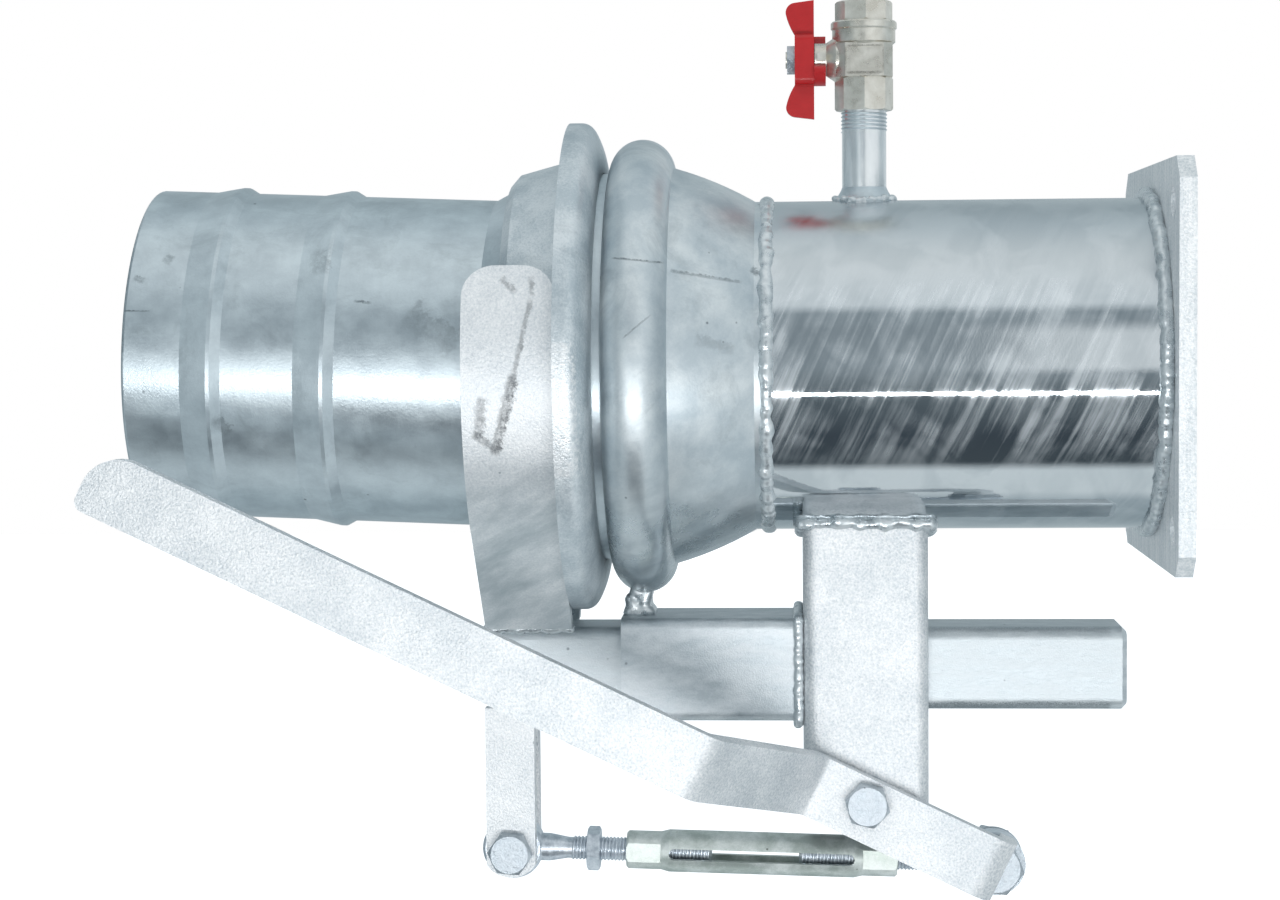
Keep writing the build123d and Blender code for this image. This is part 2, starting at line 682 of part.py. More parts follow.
def make_valve_body():
    foot_top = valve_foot + valve_foot_high
    body = octagon(valve_flats, valve_foot, foot_top)
    side = Pos(nipple_x, 0) * Rectangle(valve_mid_side, valve_mid_side)
    side = chamfer(side.vertices(), valve_mid_corner)
    body += extrude(Plane.XY.offset(foot_top) * side, valve_mid_top - foot_top)
    rim = valve_collar_r
    body += nipple_turned(Polyline((0, valve_mid_top - 1), (rim - 2.2, valve_mid_top - 1),
                                   (rim, valve_mid_top + 0.8), (rim, valve_collar_top),
                                   (0, valve_collar_top), close=True))
    root = nipple_x - valve_mid_side / 2
    body += rod_x(neck_r, neck_left, nipple_x, 0, valve_ball_z)
    neck_top = valve_ball_z + neck_r
    flare = Plane.XZ * make_face(Polyline((root - neck_flare, valve_ball_z), (root - neck_flare, neck_top),
                                          (root, neck_top + 3), (nipple_x, neck_top + 3),
                                          (nipple_x, valve_ball_z), close=True))
    body += revolve(flare, Axis((0, 0, valve_ball_z), (1, 0, 0)), 360)
    stop_x = neck_left + stop_side / 2 + 1.2
    body += Pos(stop_x, -stop_r / 2, valve_ball_z + 0.6) * Box(stop_side, stop_r, stop_side)
    front = -valve_mid_side / 2
    panel = Plane(origin=(nipple_x, front, valve_ball_z - 1), x_dir=(1, 0, 0), z_dir=(0, -1, 0))
    body -= extrude(panel * Rectangle(*valve_panel), -valve_panel_deep)
    body -= rod_z(nipple_r + seat_fit, nipple_x, valve_foot - 1, valve_foot + valve_thread_depth)
    body -= rod_z(valve_bore_r, nipple_x, valve_foot, valve_collar_top)
    body -= rod_z(valve_chamber_r, nipple_x, valve_ball_z - seat_out, valve_collar_top + 1)
    body -= rod_x(stem_r + run_fit, neck_left - 1, nipple_x, 0, valve_ball_z)
    return body - rod_x(gland_r, neck_left - 1, neck_left + gland_deep, 0, valve_ball_z)


def make_end_cap():
    ring_top = valve_collar_top + cap_ring_high
    cap = nipple_turned(Polyline((0, valve_collar_top), (cap_ring_r - 0.8, valve_collar_top),
                                 (cap_ring_r, valve_collar_top + 0.8), (cap_ring_r, ring_top - 0.8),
                                 (cap_ring_r - 0.8, ring_top), (0, ring_top), close=True))
    cap += octagon(cap_flats, ring_top, cap_top, 3.0)
    cap += rod_z(valve_chamber_r - seat_fit, nipple_x, valve_ball_z + seat_out, valve_collar_top)
    cap -= rod_z(valve_bore_r, nipple_x, valve_ball_z, cap_top)
    return cap - rod_z(port_r, nipple_x, cap_top - port_depth, cap_top + 1)


def make_seats():
    # Plastic seat rings below and above the valve ball
    ball = Pos(nipple_x, 0, valve_ball_z) * Sphere(valve_ball_r + face_gap)
    seats = []
    for low in (valve_ball_z - seat_out, valve_ball_z + seat_out - seat_thick):
        ring = rod_z(valve_chamber_r - seat_fit, nipple_x, low, low + seat_thick)
        ring -= rod_z(valve_bore_r, nipple_x, low, low + seat_thick)
        seats.append((ring - ball).solids()[0])
    return seats


def make_gland():
    return rod_x(gland_r - seat_fit, neck_left, neck_left + gland_deep, 0, valve_ball_z) - rod_x(
        stem_r + run_fit, neck_left, neck_left + gland_deep, 0, valve_ball_z)


def make_valve_ball():
    ball = Pos(nipple_x, 0, valve_ball_z) * Sphere(valve_ball_r)
    ball -= rod_z(valve_bore_r, nipple_x, valve_ball_z - 2 * valve_ball_r, valve_ball_z + 2 * valve_ball_r)
    slot = Box(2 * stem_slot, stem_slot + 2 * seat_fit, 2 * valve_ball_r)
    return ball - Pos(nipple_x - valve_ball_r, 0, valve_ball_z) * slot


def make_stem():
    # Stem with a flat tongue that turns the ball
    start = nipple_x - valve_ball_r - face_gap
    stem = rod_x(stem_r, stem_left, start, 0, valve_ball_z)
    tongue = Pos(start + stem_slot / 2, 0, valve_ball_z) * Box(stem_slot, stem_slot, 1.4 * stem_r)
    return stem + tongue


def make_handle():
    # Butterfly handle: a block round the stem, a wing above and below, and a skirt that meets the stop
    z = valve_ball_z
    block = Pos((hub_left + hub_right) / 2, 0, z) * Box(hub_right - hub_left, hub_width, hub_high)
    block = fillet(block.edges().filter_by(Axis.X), 3.0)
    side = Plane.XZ.offset(-wing_thick / 2)
    root, tip = hub_high / 2, wing_tip
    flare = hub_left - wing_flare
    outline = Line((hub_left, root - 2), (hub_left, root))
    outline += ThreePointArc((hub_left, root), (flare + 1.3, root + 6.0), (flare, tip - 6.0))
    outline += ThreePointArc((flare, tip - 6.0), (flare + 1.2, tip - 2.8), (hub_left, tip - 1.2))
    outline += Polyline((hub_left, tip - 1.2), (hub_right, tip), (hub_right, root - 2), (hub_left, root - 2))
    wing = extrude(side * make_face(outline), wing_thick)
    handle = block + Pos(0, 0, z) * wing + Pos(0, 0, z) * mirror(wing, Plane.XY)
    face = Plane(origin=(hub_right, 0, z), x_dir=(0, -1, 0), z_dir=(1, 0, 0))
    ring = face * (Circle(skirt_out_r) - Circle(skirt_in_r))
    ring = extrude(ring, skirt_deep)
    for start, end in (skirt_low, skirt_high):
        # The plane's own up direction points down in the world, so angles are taken the other way
        turns = [radians(-a) for a in (start, (2 * start + end) / 3, (start + 2 * end) / 3, end)]
        wedge = Polyline((0, 0), *[(3 * skirt_out_r * cos(a), 3 * skirt_out_r * sin(a)) for a in turns],
                         close=True)
        handle += ring & extrude(face * make_face(wedge), skirt_deep)
    return handle - rod_x(stem_r + seat_fit, hub_left - 1, hub_right + 1, 0, z)


def make_handle_nut():
    plane = Plane(origin=(handle_nut_left, 0, valve_ball_z), x_dir=(0, 1, 0), z_dir=(1, 0, 0))
    face = plane * RegularPolygon(handle_nut_flats / 2, 6, major_radius=False)
    nut = extrude(face, hub_left - handle_nut_left)
    return nut - rod_x(stem_r, handle_nut_left - 1, hub_left, 0, valve_ball_z)


def build():
    lug_y, eye_y = lug_out, eye_thick / 2
    back = hanger_side / 2
    strap, foot = make_strap()
    parts = {
        "flange_plate": make_flange(),
        "flange_weld": make_flange_weld(),
        "inlet_pipe": make_inlet_pipe(),
        "bell_weld": make_butt_weld(),
        "bell_socket": make_bell(),
        "seal_ring": make_seal(),
        "guide_tube": make_guide(),
        "guide_weld": make_guide_weld(),
        "saddle_weld": make_saddle_weld(),
        "hanger_tube": make_hanger(),
        "hanger_weld": make_hanger_weld(),
        "pivot_bolt": make_bolt(m12, lever_pivot, lever_front - face_gap,
                                back + m12["washer"] + m12["nut"] + thread_past_nut, 14.0),
        "pivot_washers": [make_washer(m12, lever_pivot, pivot_washer_y),
                          make_washer(m12, lever_pivot, back)],
        "pivot_nut": make_nut(m12, lever_pivot, back + m12["washer"], 20.0),
        "test_nipple": make_nipple(),
        "nipple_weld": make_nipple_weld(),
        "valve_body": make_valve_body(),
        "valve_end_cap": make_end_cap(),
        "valve_seats": make_seats(),
        "stem_gland": make_gland(),
        "valve_ball": make_valve_ball(),
        "valve_stem": make_stem(),
        "valve_handle": make_handle(),
        "handle_nut": make_handle_nut(),
        "slide_bar": make_slide(),
        "slide_end_plate": make_slide_cap(),
        "yoke_straps": strap,
        "strap_welds": make_strap_weld(),
        "link_lugs": make_lugs(),
        "lug_bolt": make_bolt(m12, lug_eye, -lug_y, lug_y + m12["nut"] + thread_past_nut, 5.0),
        "lug_nut": make_nut(m12, lug_eye, lug_y, 8.0),
        "collar_ring": make_ring(),
        "hose_tail": make_tail(),
        "lug_eye_screw": make_eye_screw(lug_eye, left_rod_end, m12["r"], 1),
        "crank_eye_screw": make_eye_screw(crank_eye, right_rod_end, m16["r"], -1),
        "crank_bolt": make_bolt(m16, crank_eye, -eye_y - m16["washer"],
                                eye_y + m16["washer"] + m16["nut"] + thread_past_nut, 8.0),
        "crank_washers": [make_washer(m16, crank_eye, -eye_y - m16["washer"]),
                          make_washer(m16, crank_eye, eye_y)],
        "crank_nut": make_nut(m16, crank_eye, eye_y + m16["washer"], 12.0),
        "jam_nut": make_jam_nut(),
        "turnbuckle_sleeve": make_sleeve(),
        "clamp_lever": make_lever(),
    }
    for name, shape in parts.items():
        write(Compound(children=shape) if isinstance(shape, list) else shape, name)


if __name__ == "__main__":
    os.makedirs("parts", exist_ok=True)
    build()
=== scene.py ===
import math
import bpy
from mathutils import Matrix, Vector


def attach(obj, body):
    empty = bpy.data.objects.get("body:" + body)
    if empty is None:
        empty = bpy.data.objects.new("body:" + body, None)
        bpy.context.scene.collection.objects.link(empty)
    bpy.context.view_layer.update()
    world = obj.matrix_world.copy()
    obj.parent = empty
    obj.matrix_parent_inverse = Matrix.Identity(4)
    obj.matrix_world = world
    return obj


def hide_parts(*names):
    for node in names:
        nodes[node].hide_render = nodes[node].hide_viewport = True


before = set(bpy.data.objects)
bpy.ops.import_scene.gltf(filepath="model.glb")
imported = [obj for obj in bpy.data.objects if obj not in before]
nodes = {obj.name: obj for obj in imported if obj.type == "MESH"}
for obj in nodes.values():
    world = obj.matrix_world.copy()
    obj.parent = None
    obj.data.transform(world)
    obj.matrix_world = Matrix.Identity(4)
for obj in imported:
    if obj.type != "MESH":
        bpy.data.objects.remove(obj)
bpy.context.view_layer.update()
mm = 0.001
print("frame loaded:", len(nodes), "nodes")


def linear(hexColour):
    # sRGB hex to linear colour with alpha
    parts = [int(hexColour[i:i + 2], 16) / 255 for i in (1, 3, 5)]
    return [p / 12.92 if p <= 0.04045 else ((p + 0.055) / 1.055) ** 2.4 for p in parts] + [1.0]


def put(tree, kind, inputs=None, **settings):
    # adds a node; an input takes a value or another node's output socket
    node = tree.nodes.new(kind)
    for name, value in settings.items():
        setattr(node, name, value)
    for key, value in (inputs or {}).items():
        if isinstance(value, bpy.types.NodeSocket):
            tree.links.new(value, node.inputs[key])
        else:
            node.inputs[key].default_value = value
    return node


def newMaterial(name):
    material = bpy.data.materials.new(name)
    material.use_nodes = True
    material.node_tree.nodes.clear()
    return material, material.node_tree


def dress(material, *names):
    for name in names:
        for slot in nodes[name].material_slots:
            slot.material = material


def markAndPaintedLightLine(tree, place, line, wide, ragged, face):
    # 0 to 1 along a ragged line on the front, from one point to another, given as x, z, x, z in mm; it
    # carries real marks and also painted highlights and painted shade
    x0, z0, x1, z1 = [v * mm for v in line]
    length = math.hypot(x1 - x0, z1 - z0)
    way = Vector(((x1 - x0) / length, 0, (z1 - z0) / length))
    start = put(tree, "ShaderNodeVectorMath", {0: place, 1: (x0, 0, z0)}, operation="SUBTRACT").outputs[0]
    along = put(tree, "ShaderNodeVectorMath", {0: start, 1: way}, operation="DOT_PRODUCT").outputs["Value"]
    aside = put(tree, "ShaderNodeVectorMath", {0: start, 1: (-way.z, 0, way.x)},
                operation="DOT_PRODUCT").outputs["Value"]
    torn = put(tree, "ShaderNodeTexNoise",
               {"Vector": place, "Scale": 1000 / ragged, "Detail": 6.0, "Roughness": 0.8}).outputs[0]
    sway = put(tree, "ShaderNodeMath", {0: torn, 1: 2 * wide * mm, 2: aside},
               operation="MULTIPLY_ADD").outputs[0]
    centred = put(tree, "ShaderNodeMath", {0: sway, 1: wide * mm}, operation="SUBTRACT").outputs[0]
    off = put(tree, "ShaderNodeMath", {0: centred}, operation="ABSOLUTE").outputs[0]
    near = put(tree, "ShaderNodeMapRange",
               {0: off, 1: 0.3 * wide * mm, 2: 0.6 * wide * mm, 3: 1.0, 4: 0.0}).outputs[0]
    fade = min(0.002, length / 4)
    begun = put(tree, "ShaderNodeMapRange", {0: along, 1: 0.0, 2: fade}).outputs[0]
    ended = put(tree, "ShaderNodeMapRange",
                {0: along, 1: length - fade, 2: length, 3: 1.0, 4: 0.0}).outputs[0]
    thin = 0.35   # share left in the line's gaps
    gaps = put(tree, "ShaderNodeMapRange", {0: torn, 1: 0.40, 2: 0.60, 3: 1.0, 4: thin}).outputs[0]
    depth = put(tree, "ShaderNodeSeparateXYZ", {0: place}).outputs[1]
    front = put(tree, "ShaderNodeMapRange",
                {0: depth, 1: face[0] * mm, 2: face[1] * mm, 3: 1.0, 4: 0.0}).outputs[0]
    mask = near
    for part in (begun, ended, gaps, front):
        mask = put(tree, "ShaderNodeMath", {0: mask, 1: part}, operation="MULTIPLY").outputs[0]
    return mask


def coatedSteel(name, look):
    # Zinc on steel: cloudy patches, fine crystal grain and small dark pits. Sizes are in mm, and each ragged
    # line (real marks, painted highlights and painted shade alike) is its line (x, z to x, z), width,
    # raggedness and strength
    material, tree = newMaterial(name)
    place = put(tree, "ShaderNodeTexCoord").outputs["Object"]
    drawn = put(tree, "ShaderNodeMapping", {"Vector": place, "Scale": look.get("stretch", (1, 1, 1)),
                                            "Rotation": look.get("turn", (0, 0, 0))}).outputs[0]
    patches = put(tree, "ShaderNodeTexNoise",
                  {"Vector": drawn, "Scale": 1000 / look["patch"], "Detail": 5.0, "Roughness": 0.6,
                   "Distortion": 0.2}).outputs[0]
    grain = put(tree, "ShaderNodeTexNoise", {"Vector": place, "Scale": 1000 / look["grain"], "Detail": 2.0,
                                             "Roughness": 0.7}).outputs[0]
    spots = put(tree, "ShaderNodeTexVoronoi",
                {"Vector": place, "Scale": 1000 / look["pitGap"], "Randomness": 1.0}).outputs["Distance"]
    pits = put(tree, "ShaderNodeMapRange", {0: spots, 1: look["pit"] * 0.6 / look["pitGap"],
                                            2: look["pit"] / look["pitGap"], 3: 0.8, 4: 0.0}).outputs[0]
    half = look.get("cloud", 1.0) / 2
    cloudBand = (0.36, 0.66)   # noise at which a cloud begins and is full
    cloud = put(tree, "ShaderNodeMapRange",
                {0: patches, 1: cloudBand[0], 2: cloudBand[1], 3: 0.5 - half, 4: 0.5 + half}).outputs[0]
    speck = put(tree, "ShaderNodeMath", {0: grain, 1: look["speck"], 2: cloud},
                operation="MULTIPLY_ADD").outputs[0]
    shift = put(tree, "ShaderNodeMath", {0: speck, 1: look["speck"] / 2}, operation="SUBTRACT",
                use_clamp=True).outputs[0]
    colour = put(tree, "ShaderNodeMix", {0: shift, 6: linear(look["dark"]), 7: linear(look["light"])},
                 data_type="RGBA").outputs[2]
    colour = put(tree, "ShaderNodeMix", {0: pits, 6: colour, 7: linear(look["pitColour"])},
                 data_type="RGBA").outputs[2]
    low, high = look["rough"]
    rough = put(tree, "ShaderNodeMapRange", {0: shift, 3: low, 4: high}).outputs[0]
    if "smudge" in look:   # handling smudges, torn at their edges
        torn = put(tree, "ShaderNodeTexNoise",
                   {"Vector": place, "Scale": 1000 / look["smudge"], "Detail": 8.0, "Roughness": 0.72,
                    "Distortion": 0.6}).outputs[0]
        soiled = put(tree, "ShaderNodeMapRange",
                     {0: torn, 1: 0.53, 2: 0.66, 3: 0.0, 4: look["smudgeShare"]}).outputs[0]
        colour = put(tree, "ShaderNodeMix", {0: soiled, 6: colour, 7: linear(look["smudgeColour"])},
                     data_type="RGBA").outputs[2]
    if "lines" in look:   # fine rings left by turning or rolling, round the pipe's axis
        ringScale = 9.0   # a ring changes over about 110 mm of its length
        rings = put(tree, "ShaderNodeMapping",
                    {"Vector": place, "Scale": (1000 / look["lines"], ringScale, ringScale)}).outputs[0]
        turned = put(tree, "ShaderNodeTexNoise", {"Vector": rings, "Scale": 1.0, "Detail": 3.0}).outputs[0]
        paler = put(tree, "ShaderNodeMapRange",
                    {0: turned, 1: 0.3, 2: 0.7, 3: 0.0, 4: look["lineShare"]}).outputs[0]
        colour = put(tree, "ShaderNodeMix", {0: paler, 6: colour, 7: linear(look["lineColour"])},
                     data_type="RGBA").outputs[2]
        grain = put(tree, "ShaderNodeMath", {0: turned, 1: 0.35, 2: grain},
                    operation="MULTIPLY_ADD").outputs[0]
    if "run" in look:   # leaning streaks that fade in below a height, on a smoother surface
        depthScale, smoother = 30.0, 0.14
        tilt = put(tree, "ShaderNodeMapping",
                   {"Vector": place, "Rotation": (0, look["runLean"], 0)}).outputs[0]
        long = put(tree, "ShaderNodeMapping",
                   {"Vector": tilt,
                    "Scale": (1000 / look["runLong"], depthScale, 1000 / look["runWide"])}).outputs[0]
        streaks = put(tree, "ShaderNodeTexNoise",
                      {"Vector": long, "Scale": 1.0, "Detail": 5.0, "Roughness": 0.6}).outputs[0]
        height = put(tree, "ShaderNodeSeparateXYZ", {0: place}).outputs[2]
        below = put(tree, "ShaderNodeMapRange",
                    {0: height, 1: look["run"][0] * mm, 2: look["run"][1] * mm}).outputs[0]
        dark = put(tree, "ShaderNodeMapRange", {0: streaks, 1: 0.35, 2: 0.65, 3: 0.0, 4: 0.7}).outputs[0]
        share = put(tree, "ShaderNodeMath", {0: below, 1: dark}, operation="MULTIPLY").outputs[0]
        half = put(tree, "ShaderNodeMath", {0: below, 1: 0.25, 2: share}, operation="MULTIPLY_ADD",
                   use_clamp=True).outputs[0]
        colour = put(tree, "ShaderNodeMix", {0: half, 6: colour, 7: linear(look["runColour"])},
                     data_type="RGBA").outputs[2]
        rough = put(tree, "ShaderNodeMath", {0: below, 1: -smoother, 2: rough},
                    operation="MULTIPLY_ADD").outputs[0]
    for line, wide, ragged, strength in look.get("marksAndPaintedLight", ()):   # real marks, painted highlights and painted shade on the side towards the camera
        mask = markAndPaintedLightLine(tree, place, line, wide, ragged, look.get("lineFace", (-30, -20)))
        share = put(tree, "ShaderNodeMath", {0: mask, 1: strength}, operation="MULTIPLY").outputs[0]
        colour = put(tree, "ShaderNodeMix", {0: share, 6: colour, 7: linear(look["markAndPaintedLightColour"])},
                     data_type="RGBA").outputs[2]
    height = put(tree, "ShaderNodeMath", {0: patches, 1: look["wave"], 2: grain},
                 operation="MULTIPLY_ADD").outputs[0]
    bump = put(tree, "ShaderNodeBump",
               {"Height": height, "Distance": look["bump"] * mm, "Strength": 1.0}).outputs[0]
    shader = put(tree, "ShaderNodeBsdfPrincipled",
                 {"Base Color": colour, "Metallic": look["metallic"], "Roughness": rough, "Normal": bump})
    put(tree, "ShaderNodeOutputMaterial", {"Surface": shader.outputs[0]})
    return material


# Hot-dip galvanised steel, weathered: bluish grey clouds, dull, with dark specks
dullZinc = {"light": "#D5E0E5", "dark": "#BFCAD0", "patch": 24.0, "grain": 1.2, "pit": 0.9, "pitGap": 17.0,
            "pitColour": "#6C757B", "speck": 0.5, "rough": (0.35, 0.45), "wave": 1.5, "bump": 0.06,
            "metallic": 0.8, "smudge": 30.0, "smudgeShare": 0.32, "smudgeColour": "#9AA5AA"}
dullMaterial = coatedSteel("dullGalvanisedSteel", dullZinc)

# The same on the spun hose tail, with faint rings of its rolling, dark spots and a scratch at its end
tailMaterial = coatedSteel("rolledGalvanisedTail", {
    **dullZinc, "patch": 15.0, "stretch": (0.8, 1, 1), "lines": 2.6, "lineShare": 0.10,
    "lineColour": "#AEB8BD", "metallic": 0.9, "rough": (0.30, 0.38), "smudge": 26.0, "pitGap": 22.0,
    "markAndPaintedLightColour": "#6A7479",
    "marksAndPaintedLight": [((-491, 29.4, -477.5, 29.3), 0.8, 3.0, 0.8), ((-383, 33.2, -374, 32.0), 1.4, 1.5, 0.8),
             ((-474, 55.0, -469, 52.0), 5.0, 2.0, 0.5), ((-487, 45.0, -481, 43.0), 3.0, 1.5, 0.6),
             ((-400.5, 58.0, -399, 45.0), 9.0, 3.0, 0.4), ((-449, -20.0, -442, -29.0), 6.0, 2.5, 0.45),
             ((-358, 28.0, -334, 12.0), 13.0, 3.5, 0.35)]})

# The collar ring: coarser, sparkling a little where light grazes it, with a painted highlight in a broad
# white band down its middle
collarMaterial = coatedSteel("sparklingGalvanisedCollar", {
    **dullZinc, "light": "#E2E8EB", "rough": (0.38, 0.50), "bump": 0.28, "speck": 1.8, "wave": 0.4,
    "metallic": 0.72, "markAndPaintedLightColour": "#FFFFFF", "marksAndPaintedLight": [((-286.0, 15.0, -283.0, -48.0), 15.0, 2.5, 0.75)]})

# The bell: its long seam, dull rubs and scrapes over the throat, and a darker underside
bellMaterial = coatedSteel("pressedGalvanisedBell", {
    **dullZinc, "light": "#E2E8EA", "metallic": 0.82, "run": (-28, -75), "runLean": 0.3, "runLong": 40.0,
    "runWide": 12.0, "runColour": "#A3AFB5", "markAndPaintedLightColour": "#5E686E",
    "marksAndPaintedLight": [((-262, 51.5, -238, 49.0), 0.9, 5.0, 0.75), ((-236, 45.6, -203, 40.0), 1.5, 1.6, 0.6),
             ((-256, 15.0, -243, 26.0), 0.8, 3.0, 0.45), ((-225, 14.0, -206, 9.0), 5.0, 6.0, 0.25),
             ((-199.5, 46.5, -195.5, 43.5), 3.0, 1.4, 0.9)]})

# Frosty electroplated zinc: near white, sparkling grain that scatters light, drawn coarser than real crystals
frostZinc = {"light": "#FFFFFF", "dark": "#C2C9CE", "patch": 30.0, "cloud": 0.4, "grain": 1.1, "pit": 0.8,
             "pitGap": 31.0, "pitColour": "#9AA1A6", "speck": 2.0, "rough": (0.43, 0.55), "wave": 0.5,
             "bump": 0.32, "metallic": 0.72}
frostMaterial = coatedSteel("frostyZincSteel", frostZinc)

# The flange's rough-cut edges, sparkling with upright saw marks
flangeMaterial = coatedSteel("sawnZincFlange", {
    **frostZinc, "dark": "#CFD6DA", "patch": 5.0, "cloud": 0.55, "stretch": (1.5, 1.5, 0.12),
    "metallic": 0.6})

# The strap: frosty above, streaked and duller below, with the long rub mark on its face
strapMaterial = coatedSteel("rubbedZincStrap", {
    **frostZinc, "dark": "#D5DADE", "bump": 0.2, "speck": 1.8, "metallic": 0.6, "run": (-34, -62),
    "runLean": 0.55, "runLong": 40.0, "runWide": 11.0, "runColour": "#A9B4B9", "markAndPaintedLightColour": "#4E5256",
    "marksAndPaintedLight": [((-297.5, 34, -305.5, -3), 2.4, 4.0, 0.6), ((-305.0, 0, -315.0, -38), 5.0, 3.0, 0.85),
             ((-320.0, -10, -322.0, -30), 5.0, 2.4, 0.6), ((-312.0, 43, -304.0, 36), 3.0, 2.4, 0.55),
             ((-298.0, 44, -297.0, 34), 2.6, 2.4, 0.5), ((-325.0, -27, -312.0, -36), 4.0, 2.4, 0.65)]})

# Drawn square tube, galvanised: bright with grey handling stains along it
tubeZinc = {"light": "#E6EBEE", "dark": "#BFC8CD", "patch": 11.0, "grain": 0.8, "pit": 0.9, "pitGap": 15.0,
            "pitColour": "#7B848A", "speck": 0.9, "rough": (0.40, 0.54), "wave": 1.0, "bump": 0.14,
            "metallic": 0.78, "stretch": (0.6, 1, 1.4), "turn": (0, 0.5, 0)}
tubeMaterial = coatedSteel("galvanisedTube", tubeZinc)

# The slide bar: the same, with painted shade in dark bluish lines along its rounded top and bottom corners,
# darker along the lower one
barMaterial = coatedSteel("cornerShadedGalvanisedBar", {
    **tubeZinc, "light": "#DDE3E6", "dark": "#C7CFD3", "patch": 8.0, "stretch": (0.5, 1, 2.2),
    "turn": (0, 0.6, 0), "rough": (0.42, 0.54), "markAndPaintedLightColour": "#5C6970", "lineFace": (-15.0, -13.5),
    "marksAndPaintedLight": [((-121.0, -164.4, -28.0, -164.4), 4.2, 0.7, 0.7),
             ((-121.0, -128.4, -28.0, -128.4), 4.6, 0.7, 0.3)]})

# Smooth drawn pipe nipple: brighter, long soft reflections
nippleMaterial = coatedSteel("smoothGalvanisedNipple", {
    **tubeZinc, "light": "#F4F7F8", "dark": "#DDE3E6", "stretch": (1, 1, 0.3), "rough": (0.15, 0.26),
    "bump": 0.025, "speck": 0.35, "metallic": 0.82})

# Weld metal under zinc: soft glossy lumps
beadMaterial = coatedSteel("galvanisedWeld", {
    "light": "#E4E9EB", "dark": "#C3CBCF", "patch": 5.0, "grain": 0.9, "pit": 0.6, "pitGap": 13.0,
    "pitColour": "#6F787E", "speck": 0.5, "rough": (0.24, 0.40), "wave": 1.0, "bump": 0.10,
    "metallic": 0.8})

# Zinc-plated fasteners: smooth, slightly blue
boltZinc = {"light": "#CDD4DA", "dark": "#A9B2B9", "patch": 4.0, "grain": 0.9, "pit": 0.5, "pitGap": 9.0,
            "pitColour": "#6E767E", "speck": 1.2, "rough": (0.36, 0.50), "wave": 2.0, "bump": 0.15,
            "metallic": 0.92}
boltMaterial = coatedSteel("zincPlatedBolt", boltZinc)

# Bright zinc on the rods and their eyes: bluish and smooth
rodMaterial = coatedSteel("brightZincRod", {
    **boltZinc, "light": "#EAF0F6", "dark": "#C2CBD4", "rough": (0.28, 0.40), "bump": 0.06,
    "metallic": 0.82})

# Yellow-passivated zinc, faded to a greenish grey
yellowMaterial = coatedSteel("yellowZincSteel", {
    "light": "#EAEFEC", "dark": "#B4BEB8", "patch": 12.0, "grain": 0.7, "pit": 0.7, "pitGap": 9.0,
    "pitColour": "#5F6459", "speck": 0.6, "rough": (0.36, 0.50), "wave": 1.0, "bump": 0.08,
    "metallic": 0.62})

# Nickel-plated brass: warm grey, satin from the casting under it
nickel = {"light": "#EDEAE1", "dark": "#CFCBC0", "patch": 9.0, "grain": 0.6, "pit": 0.5, "pitGap": 11.0,
          "pitColour": "#6E6A64", "speck": 0.3, "rough": (0.26, 0.36), "wave": 1.0, "bump": 0.05,
          "metallic": 0.86}
nickelMaterial = coatedSteel("nickelPlatedBrass", nickel)

# The cock's body: the same, with painted shade in dark lines round the edges of its sunk panel, darkest along
# its lower edge
bodyMaterial = coatedSteel("castNickelBody", {
    **nickel, "markAndPaintedLightColour": "#77726A", "lineFace": (-13.3, -12.6),
    "marksAndPaintedLight": [((-154.5, 140.2, -136.1, 140.2), 1.3, 1.5, 0.8),
             ((-154.5, 153.0, -136.1, 153.0), 0.9, 1.5, 0.6), ((-154.3, 140.0, -154.3, 153.0), 0.9, 1.5, 0.6),
             ((-136.3, 140.0, -136.3, 153.0), 0.8, 1.5, 0.5)]})

# The inlet pipe: sizes in mm, turns round the pipe in radians from the camera's side
pipeLook = {"light": "#DDE2E5", "dark": "#C6CDD1", "radius": 79.5, "streakWide": 1.9, "streakLong": 60.0,
            "streakLean": 0.45, "leaf": 26.0, "rough": (0.03, 0.10), "bump": 0.012, "grain": 1.0,
            "grainShare": 0.6, "haze": 0.46, "dullAbove": 0.2, "streakBand": (0.60, 0.98),
            "leafBand": (0.42, 0.58), "frontTurn": (0.42, 0.62), "topTurn": (0.36, 0.62)}


